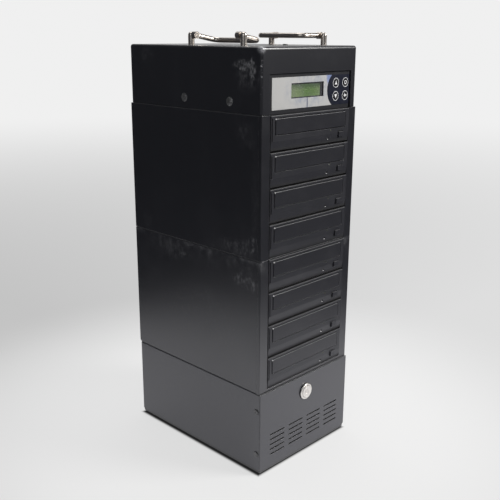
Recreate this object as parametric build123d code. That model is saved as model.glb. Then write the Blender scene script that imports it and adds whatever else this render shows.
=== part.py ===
"""A stacked disc copying tower: power base, two four-drive modules and a controller module.

Millimetres, +Z up, front towards -Y. The origin is on the floor, under the middle of the box.
Each piece is written to parts/ under its own name.
"""

from build123d import *
import os
from math import radians, sin

# Case sizes
body_width = 178.0
body_depth = 246.4
base_height = 109.0
top_height = 77.0
foot_height = 3.0
foot_radius = 10.0
foot_inset = 15.0
foot_edge = 0.8
pan_drop = 4.0  # the pan's bottom hangs this far under the base's walls, set in from them
base_lead = 2.3  # the base box stands this far in front of the modules on it
sheet = 1.0  # steel of covers, floors and rear panels
front_sheet = 1.2  # steel of fronts, pans and flanges
flange_depth = 4.5  # how far a module's front is folded back
bend_radius = 1.0  # outside of a folded sheet
tie_depth = 18.0  # strip that ties a module's flanges over its drives
cheek_length = 150.0  # cage plates beside the drives
fit = 0.2  # gap between a cover and the flange inside it
tab_height = 13.0  # inner flanges that take screws
tab_width = 20.0
lower_reveal = 3.0  # dark grooves under the modules' walls and fronts
upper_reveal = 0.8
front_reveal = 0.5
cover_seam = 0.4  # between the base's front and its cover
front_corner = 3.0
front_edge = 0.6

# Drives and their bays
drives_per_module = 4
drive_pitch = 43.75
bezel_width = 148.0
bezel_height = 42.0
bezel_depth = 5.0
bezel_proud = 1.1
bezel_side_gap = 0.5
bezel_edge = 0.9
channel_inset = 1.3  # upright groove beside a bezel's left edge, above its chin
channel_width = 1.5
channel_depth = 1.5
channel_drop = 3.0
lower_rail = 4.25  # steel seen under the lowest drive
rail_gap = 0.25
shell_width = 146.0
shell_length = 170.0
shell_wall = 0.8
shell_inset = 0.7  # the shell is this much lower than the bezel, above and below
shell_head_gap = 0.2
door_width = 132.6
door_height = 19.0
door_drop = 3.7  # from the bezel's top edge
door_depth = 4.0
door_proud = 0.6
door_gap = 0.9
door_edge = 0.8
door_corner = 1.2
chin_height = 11.5
chin_slope = 1.3
tray_width = 129.0
tray_height = 8.0
tray_lift = 2.0  # the tray's underside above the door's lower edge
tray_travel = 130.0
tray_engagement = 20.0  # what stays in the rails when the tray is out
tray_skirt = 5.0  # ribs left at the tray's sides, with the space under its plate between them
tray_head = 3.0  # and at its front
tray_floor = 1.6
disc_recess_radius = 60.75
disc_recess_depth = 2.4
small_recess_radius = 41.0
small_recess_depth = 1.4
disc_centre = 66.0  # behind the back of the door
pickup_slot_width = 38.0
hub_radius = 15.0
hub_step = 1.2
hub_shoulder = 3.0
sled_distance = 31.0  # behind the middle of the disc
sled_width = 32.0
sled_depth = 22.0
sled_gap = 1.0
lens_radius = 2.2
sled_rod_x = 20.0
sled_rod_radius = 1.5
sled_rod_length = 48.0
sled_ear_depth = 12.0
sled_ear_height = 3.0
eject_x = 57.5
eject_drop = 32.0
eject_width = 9.6
eject_height = 6.6
eject_proud = 1.7
eject_gap = 0.8
eject_edge = 0.4
eject_travel = 0.8
eject_flange = 1.6
eject_switch_width = 8.0
pin_hole_x = 32.5
pin_hole_drop = 35.6
pin_hole_radius = 1.0
pin_hole_sink = 0.5
lamp_x = 37.0
lamp_drop = 25.9
lamp_width = 3.2
lamp_height = 1.3
lamp_depth = 0.8
rail_width = 11.2
rail_lip = 2.0
run_gap = 0.3
deck_thickness = 2.0
loader_start = 10.0  # behind the modules' front plane
loader_length = 152.0
loader_foot = 6.0
loader_foot_places = (20.0, 98.0)  # behind the loader's start, clear of the drive screws
connector_width = 62.0
connector_height = 9.0
connector_depth = 4.0
drive_screw_y = (52.0, 131.0)
drive_screw_rise = 10.0
drive_screw_length = 3.6
boss_radius = 4.0

# Power base
psu_width = 150.0
psu_height = 86.0
psu_length = 140.0
psu_wall = 1.0
psu_window_width = 128.0
psu_window_height = 80.0
psu_fan_x = -24.0
psu_screw_inset = 6.0
psu_slot_pitch = 8.0
psu_slot_width = 3.0
psu_slot_places = range(-7, 2)
inlet_x = 42.0
inlet_rise = 19.0  # above the middle of the supply
inlet_width = 27.0
inlet_height = 19.8
inlet_depth = 21.0
inlet_flange = 1.8
inlet_lip = 2.0
inlet_cavity_width = 24.0
inlet_cavity_height = 16.2
inlet_cavity_depth = 16.0
inlet_pin_spacing = 14.0
inlet_pin_drop = 2.0
inlet_pin_rise = 2.0
inlet_pin_length = 14.0
inlet_pin_width = 2.0
inlet_pin_height = 4.0
rocker_drop = 19.0  # below the middle of the supply
rocker_width = 12.0
rocker_height = 17.0
rocker_depth = 7.0
rocker_tilt = 8.0
rocker_gap = 0.4
rocker_wall = 1.6
rocker_pin_radius = 1.5
rocker_pin_reach = 0.6  # into the housing's walls
rocker_dish = 1.2
rocker_proud = 0.4
rocker_room = 2.0  # behind the rocker
switch_rise = 85.0  # above the base's underside
switch_head_radius = 11.3
switch_head_proud = 2.4
switch_cap_radius = 8.4
switch_cap_proud = 3.0
switch_cap_thickness = 3.2
switch_cap_gap = 0.3
switch_barrel_radius = 9.4
switch_barrel_length = 20.0
switch_travel = 2.0
switch_stem_radius = 3.0
switch_stem_gap = 0.1
switch_spare_travel = 1.0
switch_end_wall = 2.0
switch_cap_edge = 0.5
switch_ring_radii = (2.7, 3.4)  # groove round the middle of the plunger
switch_ring_depth = 0.4
terminal_offset = 4.0
terminal_thickness = 0.8
terminal_width = 2.8
terminal_length = 7.0
switch_nut_radius = 12.6
switch_nut_thickness = 3.0
vent_group_x = (-55.8, -18.6, 18.6, 55.8)
vent_rise = 16.8
vent_pitch = 7.2
vent_rows = 5
vent_length = 28.5
vent_height = 2.0
side_screw_rise = (22.5, 83.9)
side_screw_inset = 7.2
cover_screw_x = 50.0  # at the rear

# Fans on the rear
fan_size = 80.0
fan_depth = 25.0
fan_bore_radius = 38.0
fan_corner = 4.0
fan_hole_spacing = 71.5
fan_hole_radius = 2.0
fan_hub_radius = 18.0
fan_hub_depth = 16.0
fan_hub_edge = 1.5
fan_blade_inset = 1.0  # from each end of the hub
fan_tip_gap = 0.8
fan_blades = 7
fan_blade_thickness = 1.5
fan_blade_pitch = 38.0
fan_strut_width = 4.0
fan_strut_depth = 3.0
fan_strut_root = 1.0
fan_shaft_radius = 1.5
fan_shaft_length = 12.0
fan_x = -24.0
guard_wire_radius = 0.8
guard_rings = (12.0, 22.0, 32.0)
guard_eye_radius = 3.0

# Controller module
case_setback = 1.2  # behind the front plane of the modules under it
case_inset = 0.6  # inside their sides and rear
case_wall = 1.5
case_edge = 3.5
case_lower_edge = 0.8
panel_opening_width = 152.2
panel_opening_x = 2.0
panel_opening_height = 46.5
panel_recess = 2.0
panel_gap = 0.5
panel_thickness = 3.0
panel_shelf = 22.0
lcd_width = 60.3
lcd_height = 17.7
lcd_x = -4.9
lcd_rise = 16.9  # window's lower edge above the module's underside
lcd_sink = 0.8
lcd_pane = 1.2
key_columns = (49.5, 68.8)
key_rises = (15.6, 32.0)
key_radius = 4.7
key_hole_radius = 5.0
key_proud = 0.5
key_flange_radius = 5.8
key_flange = 0.8
key_travel = 0.6
key_edge = 0.4
key_stem_gap = 0.1
key_stem_radius = 2.0
board_width = 140.0
board_height = 36.0
board_thickness = 1.6
board_stand_off = 9.0
board_post_inset_x = 5.0
board_post_inset_z = 4.0
board_post_right = 0.45  # of the left posts' reach, clear of the keys
board_switch_half = 3.0
board_switch_height = 3.4
plug_half_width = 10.0
plug_half_height = 4.0
plug_depth = 8.0
stand_off_radius = 2.5
side_bolt_y = (53.7, 135.9)  # behind the modules' front plane
side_bolt_rise = 13.5
side_bolt_radius = 5.5
side_bolt_dome = 2.2
case_tab_height = 23.0  # bent up from the cover under the case, with its roof
top_screw_x = 20.0
top_screw_y = 63.2

# Folding handles
post_x = 73.6
post_y = (44.6, 137.3)  # behind the modules' front plane
post_radius = 4.0
pivot_rise = 12.0
handle_bar_radius = 3.25
handle_reach = 35.0
handle_bend = 9.0
handle_left_droop = 10.0
eye_radius = 4.3
eye_gap = 0.3
handle_pin_radius = 1.6
running_gap = 0.05
post_stud_radius = 2.5
post_stud_length = 9.0
nut_radius = 4.6
nut_thickness = 3.0

# Wiring
loom_radius = 5.0
loom_x = 42.0
loom_y = 198.0
loom_bend = 18.0
loom_straight = 2.0
branch_radius = 2.5
loom_hole_radius = 9.0

# Screws
screw_radius = 1.5
screw_hole_radius = 1.7
screw_head_radius = 3.2
screw_head_height = 1.6
screw_length = 5.0
side_head_radius = 3.9
side_head_height = 1.2
stack_screw_inset = 8.0
stack_screw_y = (60.0, 200.0)
roof_nut_radius = 3.22
roof_nut_thickness = 2.0

# Levels and planes worked out from the sizes
tray_length = tray_travel + tray_engagement
bay_height = (drives_per_module - 1) * drive_pitch + bezel_height
head_gap = sheet + shell_head_gap - shell_inset
upper_rail = sheet + rail_gap
pan_bottom = foot_height
base_bottom = pan_bottom + pan_drop
base_top = base_bottom + base_height
lower_top = base_top + lower_rail + bay_height + head_gap
upper_top = lower_top + upper_rail + bay_height + head_gap
case_top = upper_top + top_height

guard_proud = 2 * guard_wire_radius + screw_head_height
overall_depth = switch_cap_proud + base_lead + body_depth + guard_proud
base_front = -overall_depth / 2 + switch_cap_proud
base_rear = base_front + body_depth
stack_front = base_front + base_lead
stack_rear = stack_front + body_depth
case_front = stack_front + case_setback
case_rear = stack_rear - case_inset

half_width = body_width / 2
wall_inner = half_width - sheet
tab_outer = wall_inner - fit
tab_inner = tab_outer - front_sheet
case_half = half_width - case_inset
stack_screw_x = half_width - stack_screw_inset
window_half = bezel_width / 2 + bezel_side_gap
shell_half = shell_width / 2
shell_front = stack_front - bezel_proud + bezel_depth
door_front = stack_front - bezel_proud - door_proud
door_back = door_front + door_depth
loom_plane = stack_front + loom_y


def drive_levels():
    """Top edges of the bezels, from the uppermost drive to the lowest."""
    upper = [lower_top + upper_rail + bezel_height + i * drive_pitch for i in range(drives_per_module)]
    lower = [base_top + lower_rail + bezel_height + i * drive_pitch for i in range(drives_per_module)]
    return sorted(upper + lower, reverse=True)


def block(x, y, z):
    """A box between two values on each axis."""
    centre = Pos(sum(x) / 2, sum(y) / 2, sum(z) / 2)
    return centre * Box(abs(x[1] - x[0]), abs(y[1] - y[0]), abs(z[1] - z[0]))


def rod_x(radius, x, y, z):
    return Pos(sum(x) / 2, y, z) * Rot(0, 90, 0) * Cylinder(radius, abs(x[1] - x[0]))


def rod_y(radius, x, y, z):
    return Pos(x, sum(y) / 2, z) * Rot(90, 0, 0) * Cylinder(radius, abs(y[1] - y[0]))


def rod_z(radius, x, y, z):
    return Pos(x, y, sum(z) / 2) * Cylinder(radius, abs(z[1] - z[0]))


def both_sides(shape):
    """A shape and its mirror image in the plane x = 0."""
    return [shape, mirror(shape, about=Plane.YZ)]


def upright(plane_y):
    """A drawing plane that faces the front, with its own y axis along +Z."""
    return Plane(origin=(0, plane_y, 0), x_dir=(1, 0, 0), z_dir=(0, -1, 0))


def save(name, *shapes):
    solids = [solid for shape in shapes for solid in shape.solids()]
    export_step(Compound(solids), f"parts/{name}.step")


# Fasteners: each is made on its own axis and turned to where it goes.


def screw(place, head_radius=screw_head_radius, head_height=screw_head_height, length=screw_length):
    """A pan-head screw with a cross recess; its head stands along the place's +Z."""
    head = Pos(0, 0, head_height / 2) * Cylinder(head_radius, head_height)
    head = fillet(head.edges().sort_by(Axis.Z)[-1], head_height * 0.55)
    shank = Pos(0, 0, -length / 2) * Cylinder(screw_radius, length)
    cross_width = head_radius * 0.22
    cross_length = head_radius * 1.1
    depth = head_height * 0.5
    cross = Box(cross_length, cross_width, depth) + Box(cross_width, cross_length, depth)
    return place * ((head + shank) - Pos(0, 0, head_height) * cross)


def dome_bolt(place):
    """A bolt with a plain domed head."""
    dome_ball = (side_bolt_radius**2 + side_bolt_dome**2) / (2 * side_bolt_dome)
    ball = Pos(0, 0, side_bolt_dome - dome_ball) * Sphere(dome_ball)
    head = ball & (Pos(0, 0, side_bolt_dome / 2) * Cylinder(side_bolt_radius, side_bolt_dome))
    return place * (head + Pos(0, 0, -screw_length / 2) * Cylinder(screw_radius, screw_length))


def hex_nut(place, radius, thickness, bore_radius):
    """A nut whose bore stands a running gap off its thread."""
    body = extrude(RegularPolygon(radius, 6), thickness)
    return place * (body - Pos(0, 0, thickness / 2) * Cylinder(bore_radius + running_gap, thickness))


def facing_side(x, y, z):
    """Places whose +Z points out of the left or right side."""
    turn = 90 if x > 0 else -90
    return Pos(x, y, z) * Rot(0, turn, 0)


def facing_rear(x, y, z):
    return Pos(x, y, z) * Rot(-90, 0, 0)


def stack_screw_places(level):
    """Where vertical screws join a module's floor to the roof under it."""
    spots = [(x, stack_front + y) for x in (-stack_screw_x, stack_screw_x) for y in stack_screw_y]
    return [Pos(x, y, level) for x, y in spots]


def vertical_holes(level):
    """Holes for the stack screws and the wiring through the sheets that meet at a level."""
    holes = [place * Cylinder(screw_hole_radius, 4 * sheet) for place in stack_screw_places(level)]
    return holes + [rod_z(loom_hole_radius, loom_x, loom_plane, (level - 2 * sheet, level + 2 * sheet))]


# Power base


def side_screw_spots():
    """Depth and height of the screws on each side of the base, near its front."""
    return [(base_front + side_screw_inset, base_bottom + rise) for rise in side_screw_rise]


def cover_screw_spots():
    """Screws that hold the base cover's lip at the rear."""
    return [(x, base_top - tab_height / 2) for x in (-cover_screw_x, cover_screw_x)]


def psu_levels():
    """Lowest, middle and highest level of the power supply, which stands on the pan."""
    low = pan_bottom + front_sheet
    return low, low + psu_height / 2, low + psu_height


def psu_screw_spots():
    """Corner screws of the power supply, on the base's rear."""
    reach = psu_width / 2 - psu_screw_inset
    rise = psu_height / 2 - psu_screw_inset
    return [(x, psu_levels()[1] + z) for x in (-reach, reach) for z in (-rise, rise)]


def base_pan():
    """Folded front with its vents, welded to a tray that hangs a little lower and set in from it."""
    back = base_front + front_sheet
    front_plate = block((-half_width, half_width), (base_front, back), (base_bottom, base_top))
    low_corners = front_plate.edges().filter_by(Axis.Y).group_by(Axis.Z)[0]
    front_plate = fillet(low_corners, front_corner)
    front_plate = fillet(front_plate.faces().sort_by(Axis.Y)[0].edges(), front_edge)
    wall_top = base_top - sheet - fit
    skirt = block((-tab_outer, tab_outer), (back, back + front_sheet), (pan_bottom, base_bottom + tab_height))
    bottom = block((-tab_outer, tab_outer), (back, base_rear), (pan_bottom, pan_bottom + front_sheet))
    rear = block((-tab_outer, tab_outer), (base_rear - front_sheet, base_rear), (pan_bottom, wall_top))
    depth = 2 * side_screw_inset
    low_flange = block((tab_inner, tab_outer), (back, base_rear), (pan_bottom, base_bottom + tab_height))
    front_flange = block((tab_inner, tab_outer), (back, base_front + depth), (pan_bottom, wall_top))
    rear_flange = block((tab_inner, tab_outer), (base_rear - depth, base_rear), (pan_bottom, wall_top))
    pan = front_plate + skirt + bottom + rear
    for flange in (low_flange, front_flange, rear_flange):
        pan = pan + both_sides(flange)

    slots = []
    for group_x in vent_group_x:
        for row in range(vent_rows):
            rise = base_bottom + vent_rise + row * vent_pitch
            outline = upright(base_front) * Pos(group_x, rise) * SlotOverall(vent_length, vent_height)
            slots.append(extrude(outline, 2 * front_sheet, both=True))
    middle = psu_levels()[1]
    half_window = psu_window_width / 2
    window = block((-half_window, half_window), (base_rear - 2 * front_sheet, base_rear + front_sheet),
                   (middle - psu_window_height / 2, middle + psu_window_height / 2))
    plate_span = (base_front - front_sheet, base_front + 2 * front_sheet)
    switch_hole = rod_y(switch_barrel_radius + fit, 0, plate_span, base_bottom + switch_rise)
    through = (-half_width, half_width)
    screw_holes = [rod_x(screw_hole_radius, through, y, z) for y, z in side_screw_spots()]
    rear_span = (base_rear - 2 * front_sheet, base_rear + front_sheet)
    rear_spots = psu_screw_spots() + cover_screw_spots()
    screw_holes += [rod_y(screw_hole_radius, x, rear_span, z) for x, z in rear_spots]
    return pan - slots - window - switch_hole - screw_holes


def base_cover():
    """Left side, roof and right side in one bent sheet, with a lip at the rear."""
    front = base_front + front_sheet + cover_seam
    cover = bent_cover(front, base_rear, front, base_bottom, base_top)
    lip_rear = base_rear - front_sheet - fit
    lip = block((-tab_inner + front_sheet, tab_inner - front_sheet), (lip_rear - sheet, lip_rear),
                (base_top - tab_height, base_top - sheet))
    through = (-half_width - sheet, half_width + sheet)
    screw_holes = [rod_x(screw_hole_radius, through, y, z) for y, z in side_screw_spots()]
    lip_span = (lip_rear - 2 * sheet, base_rear)
    screw_holes += [rod_y(screw_hole_radius, x, lip_span, z) for x, z in cover_screw_spots()]
    return cover + lip - screw_holes - vertical_holes(base_top)


def bent_cover(front, rear, roof_front, bottom, top):
    """Two walls and a roof in one bent sheet; the roof may start further back than the walls."""
    wall = block((wall_inner, half_width), (front, rear), (bottom, top))
    roof = block((-half_width, half_width), (roof_front, rear), (top - sheet, top))
    cover = roof + both_sides(wall)
    bends = [edge for edge in cover.edges().filter_by(Axis.Y)
             if abs(edge.center().Z - top) < fit and abs(edge.center().X) > wall_inner + fit]
    return fillet(bends, bend_radius)


def rubber_feet():
    """Four round feet, slightly tapered, stuck under the pan."""
    reach_x = half_width - foot_inset
    feet = []
    for x in (-reach_x, reach_x):
        for y in (base_front + foot_inset, base_rear - foot_inset):
            foot = Pos(x, y, foot_height / 2) * Cylinder(foot_radius, foot_height)
            feet.append(chamfer(foot.edges().sort_by(Axis.Z)[0], foot_edge))
    return feet


def psu_case():
    """The power supply's steel box, with its fan, inlet and switch openings and a slotted front."""
    low, middle, high = psu_levels()
    rear = base_rear - front_sheet
    half = psu_width / 2
    box = block((-half, half), (rear - psu_length, rear), (low, high))
    inside = block((-half + psu_wall, half - psu_wall), (rear - psu_length + psu_wall, rear - psu_wall),
                   (low + psu_wall, high - psu_wall))
    rear_span = (rear - 2 * psu_wall, rear + psu_wall)
    fan_hole = rod_y(fan_bore_radius, psu_fan_x, rear_span, middle)
    fan_screws = [rod_y(screw_hole_radius, x, rear_span, z) for x, z in fan_screw_spots(psu_fan_x, middle)]
    corner_screws = [rod_y(screw_hole_radius, x, rear_span, z) for x, z in psu_screw_spots()]
    half_inlet = inlet_width / 2 + fit
    inlet_z = middle + inlet_rise
    inlet_hole = block((inlet_x - half_inlet, inlet_x + half_inlet), rear_span,
                       (inlet_z - inlet_height / 2 - fit, inlet_z + inlet_height / 2 + fit))
    half_rocker = rocker_width / 2 + rocker_gap + rocker_wall + fit
    rocker_half_height = rocker_height / 2 + rocker_tilt_room() + rocker_wall + fit
    rocker_z = middle - rocker_drop
    rocker_hole = block((inlet_x - half_rocker, inlet_x + half_rocker), rear_span,
                        (rocker_z - rocker_half_height, rocker_z + rocker_half_height))
    front_span = (rear - psu_length - psu_wall, rear - psu_length + 2 * psu_wall)
    centres = [i * psu_slot_pitch for i in psu_slot_places]
    slots = [block((x - psu_slot_width / 2, x + psu_slot_width / 2), front_span,
                   (middle - psu_height / 4, middle + psu_height / 4)) for x in centres]
    return box - inside - fan_hole - fan_screws - corner_screws - inlet_hole - rocker_hole - slots


def rocker_tilt_room():
    """Height that the tilted rocker needs above and below its own half height."""
    return rocker_depth / 2 * sin(radians(rocker_tilt)) + rocker_gap


def power_inlet():
    """Mains socket with three flat pins, and the housing of the rocker switch under it."""
    middle = psu_levels()[1]
    rear = base_rear - front_sheet
    z = middle + inlet_rise
    body = block((inlet_x - inlet_width / 2, inlet_x + inlet_width / 2), (rear - inlet_depth, rear),
                 (z - inlet_height / 2, z + inlet_height / 2))
    half_flange = inlet_width / 2 + inlet_flange
    flange = block((inlet_x - half_flange, inlet_x + half_flange), (rear, rear + inlet_lip),
                   (z - inlet_height / 2 - inlet_flange, z + inlet_height / 2 + inlet_flange))
    back = rear + inlet_lip - inlet_cavity_depth
    cavity = block((inlet_x - inlet_cavity_width / 2, inlet_x + inlet_cavity_width / 2),
                   (back, rear + 2 * inlet_lip), (z - inlet_cavity_height / 2, z + inlet_cavity_height / 2))
    upper_edges = cavity.edges().filter_by(Axis.Y).group_by(Axis.Z)[-1]
    cavity = chamfer(upper_edges, inlet_cavity_height / 4)
    socket = body + flange - cavity
    pins = []
    for offset, rise in ((-inlet_pin_spacing / 2, -inlet_pin_drop), (inlet_pin_spacing / 2, -inlet_pin_drop),
                         (0, inlet_pin_rise)):
        pin = Box(inlet_pin_width, inlet_pin_length, inlet_pin_height)
        pins.append(Pos(inlet_x + offset, back + inlet_pin_length / 2, z + rise) * pin)

    rocker_z = middle - rocker_drop
    half_x = rocker_width / 2 + rocker_gap
    half_z = rocker_height / 2 + rocker_tilt_room()
    depth = rocker_depth + 2 * rocker_wall + rocker_room
    shell = block((inlet_x - half_x - rocker_wall, inlet_x + half_x + rocker_wall), (rear - depth, rear),
                  (rocker_z - half_z - rocker_wall, rocker_z + half_z + rocker_wall))
    rim = block((inlet_x - half_x - 2 * rocker_wall, inlet_x + half_x + 2 * rocker_wall),
                (rear, rear + rocker_wall),
                (rocker_z - half_z - 2 * rocker_wall, rocker_z + half_z + 2 * rocker_wall))
    well = block((inlet_x - half_x, inlet_x + half_x), (rear - depth + rocker_wall, rear + 2 * rocker_wall),
                 (rocker_z - half_z, rocker_z + half_z))
    bore_half = half_x + rocker_pin_reach + fit
    bore = rod_x(rocker_pin_radius + running_gap, (inlet_x - bore_half, inlet_x + bore_half),
                 rocker_axis_y(), rocker_z)
    return [socket] + pins + [shell + rim - well - bore]


def rocker_axis_y():
    """Depth of the rocker's pivot, so that its face stands just proud of the rim."""
    return base_rear - front_sheet + rocker_wall + rocker_proud - rocker_depth / 2


def psu_rocker():
    """The switch's rocker: a shallow V face and two stub pins, tilted to its lower side."""
    middle = psu_levels()[1]
    half_z = rocker_height / 2
    half_y = rocker_depth / 2
    outline = Plane.YZ * Polyline((-half_y, -half_z), (half_y, -half_z), (half_y - rocker_dish, 0),
                                  (half_y, half_z), (-half_y, half_z), close=True)
    paddle = extrude(make_face(outline), rocker_width / 2, both=True)
    pin_length = rocker_width + 2 * (rocker_gap + rocker_pin_reach)
    paddle = paddle + Rot(0, 90, 0) * Cylinder(rocker_pin_radius, pin_length)
    return Pos(inlet_x, rocker_axis_y(), middle - rocker_drop) * Rot(rocker_tilt, 0, 0) * paddle


def power_switch_body():
    """Metal push-button body: rounded head ring, threaded barrel, terminals, and its nut."""
    z = base_bottom + switch_rise
    well_depth = switch_cap_thickness + switch_travel + switch_spare_travel
    barrel_end = base_front + switch_barrel_length
    head = rod_y(switch_head_radius, 0, (base_front - switch_head_proud, base_front), z)
    head = fillet(head.edges().sort_by(Axis.Y)[0], switch_head_proud * 0.5)
    barrel = rod_y(switch_barrel_radius, 0, (base_front, barrel_end), z)
    well = rod_y(switch_cap_radius + switch_cap_gap, 0,
                 (base_front - switch_cap_proud - 1.0, base_front - switch_cap_proud + well_depth), z)
    guide = rod_y(switch_stem_radius + switch_stem_gap, 0, (base_front, barrel_end - switch_end_wall), z)
    body = head + barrel
    terminal = Box(terminal_thickness, terminal_length, terminal_width)
    for x in (-terminal_offset, terminal_offset):
        for rise in (-terminal_offset, terminal_offset):
            body = body + Pos(x, barrel_end + terminal_length / 2, z + rise) * terminal
    nut_place = Pos(0, base_front + front_sheet, z) * Rot(-90, 0, 0)
    nut = hex_nut(nut_place, switch_nut_radius, switch_nut_thickness, switch_barrel_radius)
    return [body - well - guide, nut]


def power_switch_cap():
    """The round plunger with its stem."""
    z = base_bottom + switch_rise
    front = base_front - switch_cap_proud
    cap = rod_y(switch_cap_radius, 0, (front, front + switch_cap_thickness), z)
    cap = fillet(cap.edges().sort_by(Axis.Y)[0], switch_cap_edge)
    stem_end = base_front + switch_barrel_length / 2
    stem = rod_y(switch_stem_radius, 0, (front + switch_cap_thickness, stem_end), z)
    inner, outer = switch_ring_radii
    groove_span = (front - 1.0, front + switch_ring_depth)
    return cap + stem - (rod_y(outer, 0, groove_span, z) - rod_y(inner, 0, groove_span, z))


# Fans


def fan_screw_spots(x, z):
    half = fan_hole_spacing / 2
    return [(x + sx * half, z + sz * half) for sx in (-1, 1) for sz in (-1, 1)]


def fan_frame(x, rear, z):
    """Square frame with a round bore, four struts, and the stator with its fixed shaft."""
    middle = rear - fan_depth / 2
    frame = Pos(x, middle, z) * Box(fan_size, fan_depth, fan_size)
    frame = fillet(frame.edges().filter_by(Axis.Y), fan_corner)
    frame = frame - rod_y(fan_bore_radius, x, (rear - 2 * fan_depth, rear + fan_depth), z)
    holes = [rod_y(fan_hole_radius, hx, (rear - 2 * fan_depth, rear + fan_depth), hz)
             for hx, hz in fan_screw_spots(x, z)]
    frame = frame - holes
    strut_span = (rear - fan_strut_depth, rear)
    reach = fan_bore_radius + fan_strut_root
    for turn in (45, 135):
        strut = Box(2 * reach, fan_strut_depth, fan_strut_width)
        frame = frame + Pos(x, sum(strut_span) / 2, z) * Rot(0, turn, 0) * strut
    stator = rod_y(fan_hub_radius, x, strut_span, z)
    shaft = rod_y(fan_shaft_radius, x, (rear - fan_strut_depth - fan_shaft_length, rear - fan_strut_depth), z)
    return frame + stator + shaft


def fan_rotor(x, rear, z):
    """Hub cup with pitched blades, turning on the frame's shaft."""
    front = rear - fan_strut_depth - run_gap
    middle = front - fan_hub_depth / 2
    hub = rod_y(fan_hub_radius, x, (front - fan_hub_depth, front), z)
    hub = fillet(hub.edges().sort_by(Axis.Y)[0], fan_hub_edge)
    tip = fan_bore_radius - fan_tip_gap
    blade = Box(tip, fan_blade_thickness, 2 * fan_hub_depth)
    ring = Rot(90, 0, 0) * Cylinder(tip, fan_hub_depth - 2 * fan_blade_inset)
    rotor = hub
    for i in range(fan_blades):
        pitched = Pos((tip + fan_hub_radius) / 2, 0, 0) * Rot(90 - fan_blade_pitch, 0, 0) * blade
        trimmed = (Rot(0, 360 * i / fan_blades, 0) * pitched) & ring
        rotor = rotor + Pos(x, middle, z) * trimmed
    bore = rod_y(fan_shaft_radius + running_gap, x, (front - fan_shaft_length, front + 1.0), z)
    return rotor - bore


def fan_guard(x, face, z):
    """Wire rings on two crossing wires whose ends are bent into eyes at the screws."""
    y = face + guard_wire_radius
    reach = fan_hole_spacing / 2 * 2**0.5 - guard_eye_radius
    guard = Pos(x, y, z) * Rot(90, 0, 0) * Torus(guard_rings[0], guard_wire_radius)
    for radius in guard_rings[1:]:
        guard = guard + Pos(x, y, z) * Rot(90, 0, 0) * Torus(radius, guard_wire_radius)
    for turn in (45, 135):
        wire = Rot(0, turn, 0) * Rot(0, 90, 0) * Cylinder(guard_wire_radius, 2 * reach)
        guard = guard + Pos(x, y, z) * wire
    for ex, ez in fan_screw_spots(x, z):
        guard = guard + Pos(ex, y, ez) * Rot(90, 0, 0) * Torus(guard_eye_radius, guard_wire_radius)
    return guard


def fan_sites():
    """For each fan: centre x, the plane that its frame stands against, the outer face and centre z."""
    psu_plane = base_rear - front_sheet
    lower_z = (base_top + lower_top) / 2
    upper_z = (lower_top + upper_top) / 2
    return {
        "psu": (psu_fan_x, psu_plane - psu_wall, psu_plane, psu_levels()[1]),
        "lower": (fan_x, stack_rear - sheet, stack_rear, lower_z),
        "upper": (fan_x, stack_rear - sheet, stack_rear, upper_z),
    }


# Drive modules


def rear_screw_spots(bottom, top):
    """Screws at the corners of a module's rear panel."""
    rise = sheet + tab_height / 2
    reach = tab_inner - tab_height / 2
    return [(x, z) for x in (-reach, reach) for z in (bottom + rise, top - rise)]


def bay_frame(bottom, top, rail):
    """The module's front frame, floor and cage cheeks with the pressed bosses that hold the drives."""
    front_plane = (stack_front, stack_front + front_sheet)
    front_span = (bottom + front_reveal, top)
    flange = block((window_half, half_width), front_plane, front_span)
    flange = flange + block((half_width - front_sheet, half_width), (stack_front, stack_front + flange_depth),
                            front_span)
    outer_edge = flange.edges().filter_by(Axis.Z).sort_by(lambda edge: edge.center().X - edge.center().Y)[-1]
    flange = fillet(outer_edge, bend_radius)
    cheek = block((window_half, window_half + sheet), (stack_front, stack_front + cheek_length),
                  (bottom, top - sheet - fit))
    floor_rear = stack_rear - sheet
    floor = block((-tab_outer, tab_outer), (stack_front, floor_rear), (bottom, bottom + sheet))
    rail_bar = block((-window_half, window_half), front_plane, (bottom, bottom + rail - rail_gap))
    cover_front = stack_front + flange_depth + fit
    side_lip = block((tab_inner, tab_outer), (cover_front, floor_rear), (bottom, bottom + tab_height))
    rear_lip = block((-tab_outer, tab_outer), (floor_rear - front_sheet, floor_rear),
                     (bottom, bottom + tab_height))
    tie = block((-tab_outer, tab_outer), (cover_front, stack_front + tie_depth), (top - sheet, top))
    tie_end = block((tab_inner - front_sheet, half_width - front_sheet / 2),
                    (stack_front + front_sheet / 2, stack_front + flange_depth), (top - sheet, top))
    tie_neck = block((tab_inner - front_sheet, tab_inner), (stack_front, cover_front + sheet),
                     (top - sheet, top))
    frame = floor + rail_bar + rear_lip + tie
    for piece in (flange, cheek, side_lip, tie_end, tie_neck):
        frame = frame + both_sides(piece)
    through = (-window_half - 2 * sheet, window_half + 2 * sheet)
    holes = []
    for level in drive_levels():
        if bottom < level <= top:
            z = level - bezel_height + shell_inset + drive_screw_rise
            for y in drive_screw_y:
                boss = rod_x(boss_radius, (shell_half, window_half), stack_front + y, z)
                frame = frame + both_sides(boss)
                holes.append(rod_x(screw_hole_radius, through, stack_front + y, z))
    for x, z in rear_screw_spots(bottom, top):
        holes.append(rod_y(screw_hole_radius, x, (floor_rear - 2 * front_sheet, stack_rear + sheet), z))
    return frame - holes - vertical_holes(bottom)


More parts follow.
